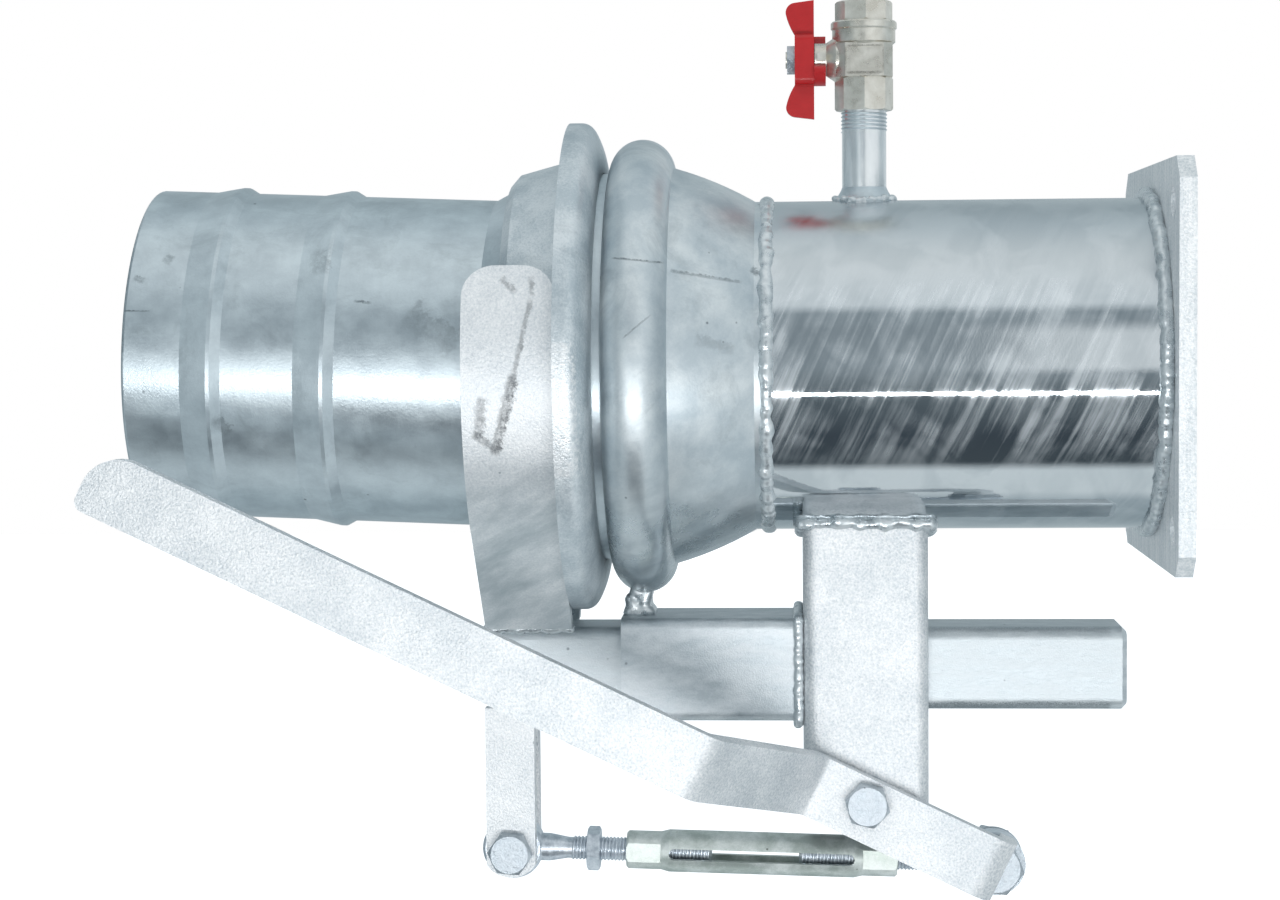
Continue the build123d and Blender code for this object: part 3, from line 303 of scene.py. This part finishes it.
def streakedPipe():
    # Bright hot-dip zinc: a mirror with leaning streaks where the zinc ran off, and pale leaf-like patches
    material, tree = newMaterial("brightGalvanisedPipe")
    place = put(tree, "ShaderNodeTexCoord").outputs["Object"]
    axes = put(tree, "ShaderNodeSeparateXYZ", {0: place}).outputs
    front = put(tree, "ShaderNodeMath", {0: axes[1], 1: -1.0}, operation="MULTIPLY").outputs[0]
    angle = put(tree, "ShaderNodeMath", {0: axes[2], 1: front}, operation="ARCTAN2").outputs[0]
    girth = put(tree, "ShaderNodeMath", {0: angle, 1: pipeLook["radius"] * mm},
                operation="MULTIPLY").outputs[0]
    lean = put(tree, "ShaderNodeMath", {0: girth, 1: -pipeLook["streakLean"], 2: axes[0]},
               operation="MULTIPLY_ADD").outputs[0]
    across = put(tree, "ShaderNodeMath", {0: lean, 1: 1000 / pipeLook["streakWide"]},
                 operation="MULTIPLY").outputs[0]
    along = put(tree, "ShaderNodeMath", {0: girth, 1: 1000 / pipeLook["streakLong"]},
                operation="MULTIPLY").outputs[0]
    flat = put(tree, "ShaderNodeCombineXYZ", {0: across, 1: along}).outputs[0]
    streaks = put(tree, "ShaderNodeTexNoise", {"Vector": flat, "Scale": 0.36, "Detail": 8.0,
                                               "Roughness": 0.66, "Distortion": 0.5}).outputs[0]
    leaves = put(tree, "ShaderNodeTexNoise",
                 {"Vector": place, "Scale": 1000 / pipeLook["leaf"], "Detail": 3.0, "Roughness": 0.5,
                  "Distortion": 0.7}).outputs[0]
    both = put(tree, "ShaderNodeMath", {0: leaves, 1: 0.55, 2: streaks},
               operation="MULTIPLY_ADD").outputs[0]
    broad = put(tree, "ShaderNodeTexNoise", {"Vector": place, "Scale": 16.0, "Detail": 2.0}).outputs[0]
    patchy = put(tree, "ShaderNodeMapRange", {0: broad, 1: 0.35, 2: 0.65, 3: -0.10, 4: 0.10}).outputs[0]
    uneven = put(tree, "ShaderNodeMath", {0: both, 1: patchy}, operation="ADD").outputs[0]
    streaked = put(tree, "ShaderNodeMapRange",
                   {0: uneven, 1: pipeLook["streakBand"][0], 2: pipeLook["streakBand"][1]},
                   interpolation_type="SMOOTHSTEP").outputs[0]
    faced = put(tree, "ShaderNodeMath", {0: angle}, operation="ABSOLUTE").outputs[0]
    shown = put(tree, "ShaderNodeMapRange", {0: faced, 1: pipeLook["frontTurn"][0],
                                             2: pipeLook["frontTurn"][1], 3: 1.0, 4: 0.25}).outputs[0]
    frost = put(tree, "ShaderNodeMath", {0: streaked, 1: shown}, operation="MULTIPLY").outputs[0]
    leaf = put(tree, "ShaderNodeMapRange", {0: leaves, 1: pipeLook["leafBand"][0],
                                            2: pipeLook["leafBand"][1], 3: 0.0, 4: 0.5}).outputs[0]
    tone = put(tree, "ShaderNodeMath", {0: frost, 1: leaf}, operation="MAXIMUM").outputs[0]
    colour = put(tree, "ShaderNodeMix", {0: tone, 6: linear(pipeLook["dark"]),
                                         7: linear(pipeLook["light"])}, data_type="RGBA").outputs[2]
    glaze = put(tree, "ShaderNodeMapRange",
                {0: frost, 3: pipeLook["rough"][0], 4: pipeLook["rough"][1]}).outputs[0]
    upper = put(tree, "ShaderNodeMapRange", {0: angle, 1: pipeLook["topTurn"][0], 2: pipeLook["topTurn"][1],
                                             3: 0.0, 4: pipeLook["dullAbove"]}).outputs[0]
    rough = put(tree, "ShaderNodeMath", {0: glaze, 1: upper}, operation="ADD").outputs[0]
    grain = put(tree, "ShaderNodeTexNoise",
                {"Vector": place, "Scale": 1000 / pipeLook["grain"], "Detail": 2.0}).outputs[0]
    height = put(tree, "ShaderNodeMath", {0: grain, 1: pipeLook["grainShare"], 2: streaks},
                 operation="MULTIPLY_ADD").outputs[0]
    bump = put(tree, "ShaderNodeBump", {"Height": height, "Distance": pipeLook["bump"] * mm}).outputs[0]
    metal = put(tree, "ShaderNodeMapRange", {0: frost, 3: 1.0, 4: 1.0 - pipeLook["haze"]}).outputs[0]
    shader = put(tree, "ShaderNodeBsdfPrincipled",
                 {"Base Color": colour, "Metallic": metal, "Roughness": rough, "Normal": bump})
    put(tree, "ShaderNodeOutputMaterial", {"Surface": shader.outputs[0]})
    return material


def plainCoat(name, look):
    # Enamel, rubber or plastic: a slight change of tone and a faint orange-peel
    material, tree = newMaterial(name)
    place = put(tree, "ShaderNodeTexCoord").outputs["Object"]
    tone = put(tree, "ShaderNodeTexNoise",
               {"Vector": place, "Scale": 1000 / look["patch"], "Detail": 3.0}).outputs[0]
    colour = put(tree, "ShaderNodeMix", {0: tone, 6: linear(look["dark"]), 7: linear(look["light"])},
                 data_type="RGBA").outputs[2]
    rough = put(tree, "ShaderNodeMapRange", {0: tone, 3: look["rough"][0], 4: look["rough"][1]}).outputs[0]
    peel = put(tree, "ShaderNodeTexNoise",
               {"Vector": place, "Scale": 1000 / look["peel"], "Detail": 1.0}).outputs[0]
    bump = put(tree, "ShaderNodeBump", {"Height": peel, "Distance": look["bump"] * mm}).outputs[0]
    shader = put(tree, "ShaderNodeBsdfPrincipled",
                 {"Base Color": colour, "Roughness": rough, "Normal": bump,
                  "Coat Weight": look.get("coat", 0.0), "Coat Roughness": 0.12})
    put(tree, "ShaderNodeOutputMaterial", {"Surface": shader.outputs[0]})
    return material


# Stove enamel on the cock's handle: deep glossy red
redMaterial = plainCoat("redEnamel", {"light": "#C4171B", "dark": "#A81015", "patch": 9.0,
                                      "rough": (0.30, 0.42), "peel": 1.2, "bump": 0.05, "coat": 0.1})
# Moulded EPDM: matt, nearly black
rubberMaterial = plainCoat("epdmRubber", {"light": "#2B2C2E", "dark": "#1B1C1D", "patch": 6.0,
                                          "rough": (0.62, 0.78), "peel": 0.8, "bump": 0.05})
# Machined PTFE: waxy white
ptfeMaterial = plainCoat("ptfe", {"light": "#ECECE8", "dark": "#DEDED9", "patch": 6.0,
                                  "rough": (0.45, 0.55), "peel": 0.8, "bump": 0.02})
pipeMaterial = streakedPipe()

dress(pipeMaterial, "inlet_pipe")
dress(collarMaterial, "collar_ring")
dress(dullMaterial, "nipple_weld")
dress(tailMaterial, "hose_tail")
dress(bellMaterial, "bell_socket")
dress(frostMaterial, "clamp_lever", "hanger_tube", "link_lugs")
dress(flangeMaterial, "flange_plate")
dress(strapMaterial, "yoke_straps")
dress(tubeMaterial, "guide_tube")
dress(barMaterial, "slide_bar", "slide_end_plate")
dress(nippleMaterial, "test_nipple")
dress(boltMaterial, "pivot_bolt", "pivot_washers", "pivot_nut", "lug_bolt", "lug_nut", "crank_bolt",
      "crank_washers", "crank_nut", "handle_nut")
dress(rodMaterial, "lug_eye_screw", "crank_eye_screw", "jam_nut")
dress(yellowMaterial, "turnbuckle_sleeve")
dress(bodyMaterial, "valve_body")
dress(nickelMaterial, "valve_end_cap", "valve_ball", "valve_stem")
dress(redMaterial, "valve_handle")
dress(rubberMaterial, "seal_ring")
dress(ptfeMaterial, "valve_seats", "stem_gland")
print("finishes set")


def groupSocket(tree, name, kind, default=None):
    socket = tree.interface.new_socket(name=name, in_out="INPUT", socket_type=kind)
    if default is not None:
        socket.default_value = default


def growPiece(name, source, tree, values, body, replaced=()):
    # runs a node tree on a mesh and keeps the result as a plain mesh piece
    carrier = bpy.data.objects.new(name + "Source", source)
    bpy.context.scene.collection.objects.link(carrier)
    modifier = carrier.modifiers.new(name, "NODES")
    modifier.node_group = tree
    sockets = {item.name: item.identifier for item in tree.interface.items_tree if item.in_out == "INPUT"}
    for key, value in values.items():
        modifier[sockets[key]] = value
    graph = bpy.context.evaluated_depsgraph_get()
    graph.update()
    mesh = bpy.data.meshes.new_from_object(carrier.evaluated_get(graph), depsgraph=graph)
    carrier.modifiers.remove(modifier)
    bpy.data.objects.remove(carrier)
    mesh.name = name
    piece = bpy.data.objects.new(name, mesh)
    bpy.context.scene.collection.objects.link(piece)
    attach(piece, body)
    if replaced:
        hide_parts(*replaced)
    print(name, len(mesh.polygons), "faces")


def weldTree():
    # drops of weld metal along a path, melted into one bead
    tree = bpy.data.node_groups.new("weldBead", "GeometryNodeTree")
    groupSocket(tree, "Geometry", "NodeSocketGeometry")
    groupSocket(tree, "Step", "NodeSocketFloat", 0.002)
    groupSocket(tree, "Size", "NodeSocketFloat", 0.003)
    groupSocket(tree, "Uneven", "NodeSocketFloat", 0.3)
    groupSocket(tree, "Nudge", "NodeSocketFloat", 0.0004)
    groupSocket(tree, "Grid", "NodeSocketFloat", 0.0009)
    groupSocket(tree, "Seed", "NodeSocketInt", 1)
    groupSocket(tree, "Material", "NodeSocketMaterial")
    tree.interface.new_socket(name="Geometry", in_out="OUTPUT", socket_type="NodeSocketGeometry")
    given = put(tree, "NodeGroupInput").outputs
    path = put(tree, "GeometryNodeMeshToCurve", {0: given["Geometry"]}).outputs[0]
    drops = put(tree, "GeometryNodeCurveToPoints", {"Curve": path, "Length": given["Step"]},
                mode="LENGTH").outputs[0]
    reach = put(tree, "ShaderNodeVectorMath", {0: (1, 1, 1), "Scale": given["Nudge"]},
                operation="SCALE").outputs[0]
    back = put(tree, "ShaderNodeVectorMath", {0: (-1, -1, -1), "Scale": given["Nudge"]},
               operation="SCALE").outputs[0]
    nudge = put(tree, "FunctionNodeRandomValue", {0: back, 1: reach, "Seed": given["Seed"]},
                data_type="FLOAT_VECTOR").outputs[0]
    moved = put(tree, "GeometryNodeSetPosition", {"Geometry": drops, "Offset": nudge}).outputs[0]
    least = put(tree, "ShaderNodeMath", {0: 1.0, 1: given["Uneven"]}, operation="SUBTRACT").outputs[0]
    most = put(tree, "ShaderNodeMath", {0: 1.0, 1: given["Uneven"]}, operation="ADD").outputs[0]
    swell = put(tree, "FunctionNodeRandomValue", {2: least, 3: most, "Seed": given["Seed"]},
                data_type="FLOAT").outputs[1]
    radius = put(tree, "ShaderNodeMath", {0: given["Size"], 1: swell}, operation="MULTIPLY").outputs[0]
    volume = put(tree, "GeometryNodePointsToVolume",
                 {"Points": moved, "Radius": radius, "Voxel Size": given["Grid"]},
                 resolution_mode="VOXEL_SIZE").outputs[0]
    melted = put(tree, "GeometryNodeVolumeToMesh",
                 {"Volume": volume, "Voxel Size": given["Grid"], "Threshold": 0.1, "Adaptivity": 0.05},
                 resolution_mode="VOXEL_SIZE").outputs[0]
    spot = put(tree, "GeometryNodeInputPosition").outputs[0]
    eased = put(tree, "GeometryNodeBlurAttribute", {"Value": spot, "Iterations": 3},
                data_type="FLOAT_VECTOR").outputs["Value"]
    soft = put(tree, "GeometryNodeSetPosition", {"Geometry": melted, "Position": eased}).outputs[0]
    smooth = put(tree, "GeometryNodeSetShadeSmooth", {0: soft}).outputs[0]
    real = put(tree, "GeometryNodeRealizeInstances", {0: smooth}).outputs[0]
    finished = put(tree, "GeometryNodeSetMaterial",
                   {"Geometry": real, "Material": given["Material"]}).outputs[0]
    put(tree, "NodeGroupOutput", {0: finished})
    return tree


def pathMesh(runs, closed=False):
    # runs of points, in mm, as chains of edges
    mesh = bpy.data.meshes.new("path")
    points, edges = [], []
    for run in runs:
        first, last = len(points), len(points) + len(run) - 1
        points += [Vector(p) * mm for p in run]
        edges += [(i, i + 1) for i in range(first, last)] + ([(last, first)] if closed else [])
    mesh.from_pydata(points, edges, [])
    return mesh


def ringPath(x, radius):
    # circle round the pipe's axis
    steps = 120
    turns = [math.tau * i / steps for i in range(steps)]
    return pathMesh([[(x, radius * math.cos(a), radius * math.sin(a)) for a in turns]], True)


welds = {
    "flangeBead": {"x": -10.8, "radius": 80.6, "step": 2.2, "size": 3.5, "uneven": 0.14, "nudge": 0.5,
                   "seed": 3, "node": "flange_weld"},
    "buttBead": {"x": -192.4, "radius": 77.8, "step": 2.4, "size": 3.7, "uneven": 0.16, "nudge": 0.5,
                 "seed": 5, "node": "bell_weld"},
}
beadTree = weldTree()


def weldPiece(name, source, look, body):
    values = {"Step": look["step"] * mm, "Size": look["size"] * mm, "Uneven": look["uneven"],
              "Nudge": look["nudge"] * mm, "Grid": look.get("grid", 0.9) * mm, "Seed": look["seed"],
              "Material": beadMaterial}
    replaced = (look["node"],) if "node" in look else ()
    growPiece(name, source, beadTree, values, body, replaced)


for name, look in welds.items():
    weldPiece(name, ringPath(look["x"], look["radius"]), look, "coupling_body")

hangerLook = {"place": -146.0, "half": 30.6, "radius": 79.5, "sink": 1.0, "steps": 24, "step": 2.2,
              "size": 3.3, "uneven": 0.22, "nudge": 0.8, "seed": 17, "node": "hanger_weld"}


def hangerLoop(look):
    # all round the hanger's top, down the pipe's side
    half, radius, steps = look["half"], look["radius"], look["steps"]
    corners = [(-half, -half), (half, -half), (half, half), (-half, half)]
    points = []
    for i, (x0, y0) in enumerate(corners):
        x1, y1 = corners[(i + 1) % 4]
        for k in range(steps):
            x, y = x0 + (x1 - x0) * k / steps, y0 + (y1 - y0) * k / steps
            points.append((look["place"] + x, y, -math.sqrt(radius ** 2 - y * y) - look["sink"]))
    return pathMesh([points], True)


weldPiece("hangerBead", hangerLoop(hangerLook), hangerLook, "coupling_body")

guideLook = {"place": (-178.3, -146.0), "half": 25.4, "step": 2.0, "size": 2.5, "uneven": 0.16,
             "nudge": 0.3, "seed": 23, "grid": 0.8, "node": "guide_weld"}


def guideLoop(look):
    # square round the guide tube, against the hanger
    (x, middle), half = look["place"], look["half"]
    corners = [(-half, -half), (half, -half), (half, half), (-half, half)]
    return pathMesh([[(x, y, middle + z) for y, z in corners]], True)


weldPiece("guideBead", guideLoop(guideLook), guideLook, "coupling_body")

saddleLook = {"rows": [(-260.5, -120.0), (-256.0, -120.0), (-251.5, -120.0), (-253.5, -116.5),
                       (-258.0, -116.5), (-258.5, -113.0), (-254.0, -113.0), (-252.5, -110.0),
                       (-257.0, -110.0)],
              "reach": 8.0, "gap": 2.6, "sway": 0.6, "step": 2.0, "size": 3.4, "uneven": 0.18, "nudge": 0.6,
              "seed": 31, "grid": 0.8, "node": "saddle_weld"}


def saddleRun(look):
    # weld metal built up between the bell's bead and the guide tube, forward and back again
    points = []
    for row, (x, z) in enumerate(look["rows"]):
        side = 1 if row % 2 else -1
        points += [(x + look["sway"] * math.sin(1.3 * k + row), side * (look["gap"] * k - look["reach"]), z)
                   for k in range(7)]
    return pathMesh([points])


weldPiece("saddleBead", saddleRun(saddleLook), saddleLook, "coupling_body")

nippleLook = {"place": -145.3, "radius": 13.6, "pipeRadius": 79.5, "lift": 0.5, "steps": 60, "step": 1.5,
              "size": 1.9, "uneven": 0.25, "nudge": 0.8, "seed": 41, "grid": 0.6}


def nippleLoop(look):
    # round the nipple's foot, where the pipe's side falls away
    points = []
    for i in range(look["steps"]):
        turn = math.tau * i / look["steps"]
        y = look["radius"] * math.sin(turn)
        points.append((look["place"] + look["radius"] * math.cos(turn), y,
                       math.sqrt(look["pipeRadius"] ** 2 - y * y) + look["lift"]))
    return pathMesh([points], True)


weldPiece("nippleBead", nippleLoop(nippleLook), nippleLook, "coupling_body")

strapLook = {"ends": (-328.0, -289.0), "aside": 19.2, "height": -126.2, "step": 2.0, "size": 2.7,
             "uneven": 0.2, "nudge": 0.5, "seed": 37, "grid": 0.8, "node": "strap_welds"}


def strapRuns(look):
    # along both feet of the straps, on the slide bar
    return pathMesh([[(x, side * look["aside"], look["height"]) for x in look["ends"]] for side in (-1, 1)])


weldPiece("strapBeads", strapRuns(strapLook), strapLook, "yoke")
print("weld beads grown")


def threadTree():
    # a V-shaped ridge wound round a bar
    tree = bpy.data.node_groups.new("screwThread", "GeometryNodeTree")
    groupSocket(tree, "Geometry", "NodeSocketGeometry")
    groupSocket(tree, "Turns", "NodeSocketFloat", 5.0)
    groupSocket(tree, "Radius", "NodeSocketFloat", 0.006)
    groupSocket(tree, "Length", "NodeSocketFloat", 0.01)
    groupSocket(tree, "Ridge", "NodeSocketFloat", 0.0009)
    groupSocket(tree, "Start", "NodeSocketVector")
    groupSocket(tree, "Turned", "NodeSocketRotation")
    groupSocket(tree, "Material", "NodeSocketMaterial")
    tree.interface.new_socket(name="Geometry", in_out="OUTPUT", socket_type="NodeSocketGeometry")
    given = put(tree, "NodeGroupInput").outputs
    coil = put(tree, "GeometryNodeCurveSpiral",
               {"Resolution": 28, "Rotations": given["Turns"], "Start Radius": given["Radius"],
                "End Radius": given["Radius"], "Height": given["Length"]}).outputs[0]
    upright = put(tree, "GeometryNodeSetCurveNormal", {"Curve": coil}, mode="Z_UP").outputs[0]
    ridge = put(tree, "GeometryNodeCurvePrimitiveCircle",
                {"Resolution": 4, "Radius": given["Ridge"]}).outputs[0]
    wound = put(tree, "GeometryNodeCurveToMesh",
                {"Curve": upright, "Profile Curve": ridge, "Fill Caps": True}).outputs[0]
    placed = put(tree, "GeometryNodeTransform",
                 {"Geometry": wound, "Translation": given["Start"], "Rotation": given["Turned"]}).outputs[0]
    real = put(tree, "GeometryNodeRealizeInstances", {0: placed}).outputs[0]
    finished = put(tree, "GeometryNodeSetMaterial",
                   {"Geometry": real, "Material": given["Material"]}).outputs[0]
    put(tree, "NodeGroupOutput", {0: finished})
    return tree


lugEye, crankEye = Vector((-319.3, 0, -236.9)), Vector((-83.5, 0, -243.3))
linkWay = (crankEye - lugEye).normalized()
# crest and ridge in mm; pitch is the real one of each thread
threads = {
    "nippleThread": {"start": (-145.3, 0, 112.6), "way": (0, 0, 1), "length": 10.0, "crest": 11.2,
                     "pitch": 1.81, "ridge": 0.9, "body": "coupling_body", "slot": "galv",
                     "look": dullMaterial},
    "lugRodThread": {"start": lugEye + 29 * linkWay, "way": linkWay, "length": 68.0, "crest": 6.0,
                     "pitch": 1.75, "ridge": 0.85, "body": "link", "slot": "zinc_yellow",
                     "look": rodMaterial},
    "crankRodThread": {"start": crankEye - 94 * linkWay, "way": linkWay, "length": 64.0, "crest": 6.0,
                       "pitch": 1.75, "ridge": 0.85, "body": "link", "slot": "zinc_yellow",
                       "look": rodMaterial},
    "pivotBoltThread": {"start": (-146.0, 43.6, -207.5), "way": (0, 1, 0), "length": 2.6, "crest": 6.0,
                        "pitch": 1.75, "ridge": 0.85, "body": "coupling_body", "slot": "zinc",
                        "look": boltMaterial},
    "lugBoltThread": {"start": (-319.3, 26.6, -236.9), "way": (0, 1, 0), "length": 2.6, "crest": 6.0,
                      "pitch": 1.75, "ridge": 0.85, "body": "yoke", "slot": "zinc", "look": boltMaterial},
    "crankBoltThread": {"start": (-83.5, 23.1, -243.3), "way": (0, 1, 0), "length": 2.6, "crest": 8.0,
                        "pitch": 2.0, "ridge": 1.0, "body": "link", "slot": "zinc", "look": boltMaterial},
}
coilTree = threadTree()
for name, look in threads.items():
    turned = Vector(look["way"]).to_track_quat("Z", "Y").to_euler()
    values = {"Turns": look["length"] / look["pitch"], "Radius": (look["crest"] - look["ridge"]) * mm,
              "Length": look["length"] * mm, "Ridge": look["ridge"] * mm,
              "Start": [c * mm for c in look["start"]], "Turned": list(turned), "Material": look["look"]}
    growPiece(name, bpy.data.meshes.new("empty"), coilTree, values, look["body"])
print("threads wound")

studio = {"floor": -0.62, "wide": 6.0, "paper": "#F4F5F6", "lift": 0.72}
# what metal sees round the pipe, in degrees up from the camera's side: a dim room in front, white sheets
# above and below
surround = [(-180, "#B9C5CA"), (-135, "#A2B0B6"), (-108, "#AEBBC1"), (-98, "#DDE5E8"), (-77, "#DDE5E8"),
            (-70, "#4E575D"), (-48, "#49525A"), (-22, "#677177"), (0, "#98A2A8"), (26, "#97A1A7"),
            (37, "#98A3A9"), (43, "#E6ECEF"), (77, "#F1F5F6"), (112, "#C6D1D6"), (140, "#A9B6BB"),
            (180, "#B9C5CA")]
# and towards the left and right, by how far sideways it looks
wings = [(-1.0, "#8C989E"), (-0.72, "#96A3A9"), (-0.45, "#D5DEE2"), (0.5, "#E3EAED"), (0.8, "#C8D2D7"),
         (1.0, "#AEBAC0")]
floorMesh = bpy.data.meshes.new("studioFloor")
wide, level = studio["wide"], studio["floor"]
corners = [(-wide, -wide, level), (wide, -wide, level), (wide, wide, level), (-wide, wide, level)]
floorMesh.from_pydata(corners, [], [(0, 1, 2, 3)])
floor = bpy.data.objects.new("studioFloor", floorMesh)
bpy.context.scene.collection.objects.link(floor)
floorMaterial, floorTree = newMaterial("paperFloor")   # matt white paper, lifted to white for the camera
rays = put(floorTree, "ShaderNodeLightPath").outputs
lift = put(floorTree, "ShaderNodeMath", {0: rays["Is Camera Ray"], 1: studio["lift"]},
           operation="MULTIPLY").outputs[0]
floorShader = put(floorTree, "ShaderNodeBsdfPrincipled",
                  {"Base Color": linear(studio["paper"]), "Roughness": 0.9, "Emission Color": (1, 1, 1, 1),
                   "Emission Strength": lift})
put(floorTree, "ShaderNodeOutputMaterial", {"Surface": floorShader.outputs[0]})
floorMesh.materials.append(floorMaterial)
floor.visible_glossy = False   # metal sees the studio's sheets, not the paper

world = bpy.data.worlds.new("studioWorld")
bpy.context.scene.world = world
world.use_nodes = True
worldTree = world.node_tree
worldTree.nodes.clear()
way = put(worldTree, "ShaderNodeTexCoord").outputs["Generated"]
axes = put(worldTree, "ShaderNodeSeparateXYZ", {0: way}).outputs
toFront = put(worldTree, "ShaderNodeMath", {0: axes[1], 1: -1.0}, operation="MULTIPLY").outputs[0]
angle = put(worldTree, "ShaderNodeMath", {0: axes[2], 1: toFront}, operation="ARCTAN2").outputs[0]
turn = put(worldTree, "ShaderNodeMath", {0: angle, 1: 1 / math.tau, 2: 0.5},
           operation="MULTIPLY_ADD").outputs[0]
ring = put(worldTree, "ShaderNodeValToRGB", {0: turn})
while len(ring.color_ramp.elements) < len(surround):
    ring.color_ramp.elements.new(0.5)
for stop, (degree, colour) in zip(ring.color_ramp.elements, surround):
    stop.position = degree / 360 + 0.5
    stop.color = linear(colour)
sideways = put(worldTree, "ShaderNodeMath", {0: axes[0]}, operation="ABSOLUTE").outputs[0]
wingStart = (0.25, 0.55)   # how far sideways the wings fade in
sideShare = put(worldTree, "ShaderNodeMapRange", {0: sideways, 1: wingStart[0], 2: wingStart[1]},
                interpolation_type="SMOOTHSTEP").outputs[0]
across = put(worldTree, "ShaderNodeMath", {0: axes[0], 1: 0.5, 2: 0.5}, operation="MULTIPLY_ADD").outputs[0]
sides = put(worldTree, "ShaderNodeValToRGB", {0: across})
while len(sides.color_ramp.elements) < len(wings):
    sides.color_ramp.elements.new(0.5)
for stop, (place, colour) in zip(sides.color_ramp.elements, wings):
    stop.position = place / 2 + 0.5
    stop.color = linear(colour)
seen = put(worldTree, "ShaderNodeMix", {0: sideShare, 6: ring.outputs[0], 7: sides.outputs[0]},
           data_type="RGBA").outputs[2]
# a white card to the right of the camera, soft at its edges: how far sideways it starts, and its height
card = {"left": (0.045, 0.12), "low": (-0.12, 0.0), "high": (0.36, 0.56), "colour": "#ECF0F2"}
cardLeft = put(worldTree, "ShaderNodeMapRange", {0: axes[0], 1: card["left"][0], 2: card["left"][1]},
               interpolation_type="SMOOTHSTEP").outputs[0]
cardLow = put(worldTree, "ShaderNodeMapRange", {0: angle, 1: card["low"][0], 2: card["low"][1]},
              interpolation_type="SMOOTHSTEP").outputs[0]
cardHigh = put(worldTree, "ShaderNodeMapRange",
               {0: angle, 1: card["high"][0], 2: card["high"][1], 3: 1.0, 4: 0.0},
               interpolation_type="SMOOTHSTEP").outputs[0]
cardTall = put(worldTree, "ShaderNodeMath", {0: cardLow, 1: cardHigh}, operation="MULTIPLY").outputs[0]
cardShare = put(worldTree, "ShaderNodeMath", {0: cardLeft, 1: cardTall}, operation="MULTIPLY").outputs[0]
seen = put(worldTree, "ShaderNodeMix", {0: cardShare, 6: seen, 7: linear(card["colour"])},
           data_type="RGBA").outputs[2]
rays = put(worldTree, "ShaderNodeLightPath").outputs
shown = put(worldTree, "ShaderNodeMix", {0: rays["Is Camera Ray"], 6: seen, 7: (1, 1, 1, 1)},
            data_type="RGBA").outputs[2]
sky = put(worldTree, "ShaderNodeBackground", {"Color": shown, "Strength": 1.0})
put(worldTree, "ShaderNodeOutputWorld", {0: sky.outputs[0]})

# a long tube below the camera, a white card to its left and a wide soft light above
lamps = {
    "stripLamp": {"place": (-0.1, -1.6, -0.523), "size": (1.6, 0.026), "power": 9.1},
    "leftCard": {"place": (-0.85, -2.0, -0.28), "size": (0.9, 0.75), "power": 2.0},
    "topLamp": {"place": (-0.2, -1.3, 1.7), "size": (2.4, 1.2), "power": 4.8},
}
objectMiddle = Vector((-0.2, 0, -0.05))
for name, look in lamps.items():
    light = bpy.data.lights.new(name, "AREA")
    light.shape = "RECTANGLE"
    light.size, light.size_y = look["size"]
    light.energy = look["power"]
    lamp = bpy.data.objects.new(name, light)
    lamp.location = look["place"]
    aim = objectMiddle - Vector(look["place"])
    lamp.rotation_euler = aim.to_track_quat("-Z", "Y").to_euler()
    lamp.visible_camera = False
    lamp.visible_glossy = name != "topLamp"   # metal shows the tube and the card
    bpy.context.scene.collection.objects.link(lamp)

camera = {"place": (-0.176906, -1.254088, 0.030737), "turn": (86.738672, 0.493975, 3.545470),
          "lens": 72.2618}
cameraData = bpy.data.cameras.new("photoCamera")
cameraData.lens = camera["lens"]
cameraData.sensor_width = 36.0
cameraData.sensor_fit = "HORIZONTAL"
cameraObject = bpy.data.objects.new("photoCamera", cameraData)
cameraObject.location = camera["place"]
cameraObject.rotation_euler = [math.radians(a) for a in camera["turn"]]
bpy.context.scene.collection.objects.link(cameraObject)
bpy.context.scene.camera = cameraObject
bpy.context.scene.view_settings.view_transform = "Standard"
print("studio ready")
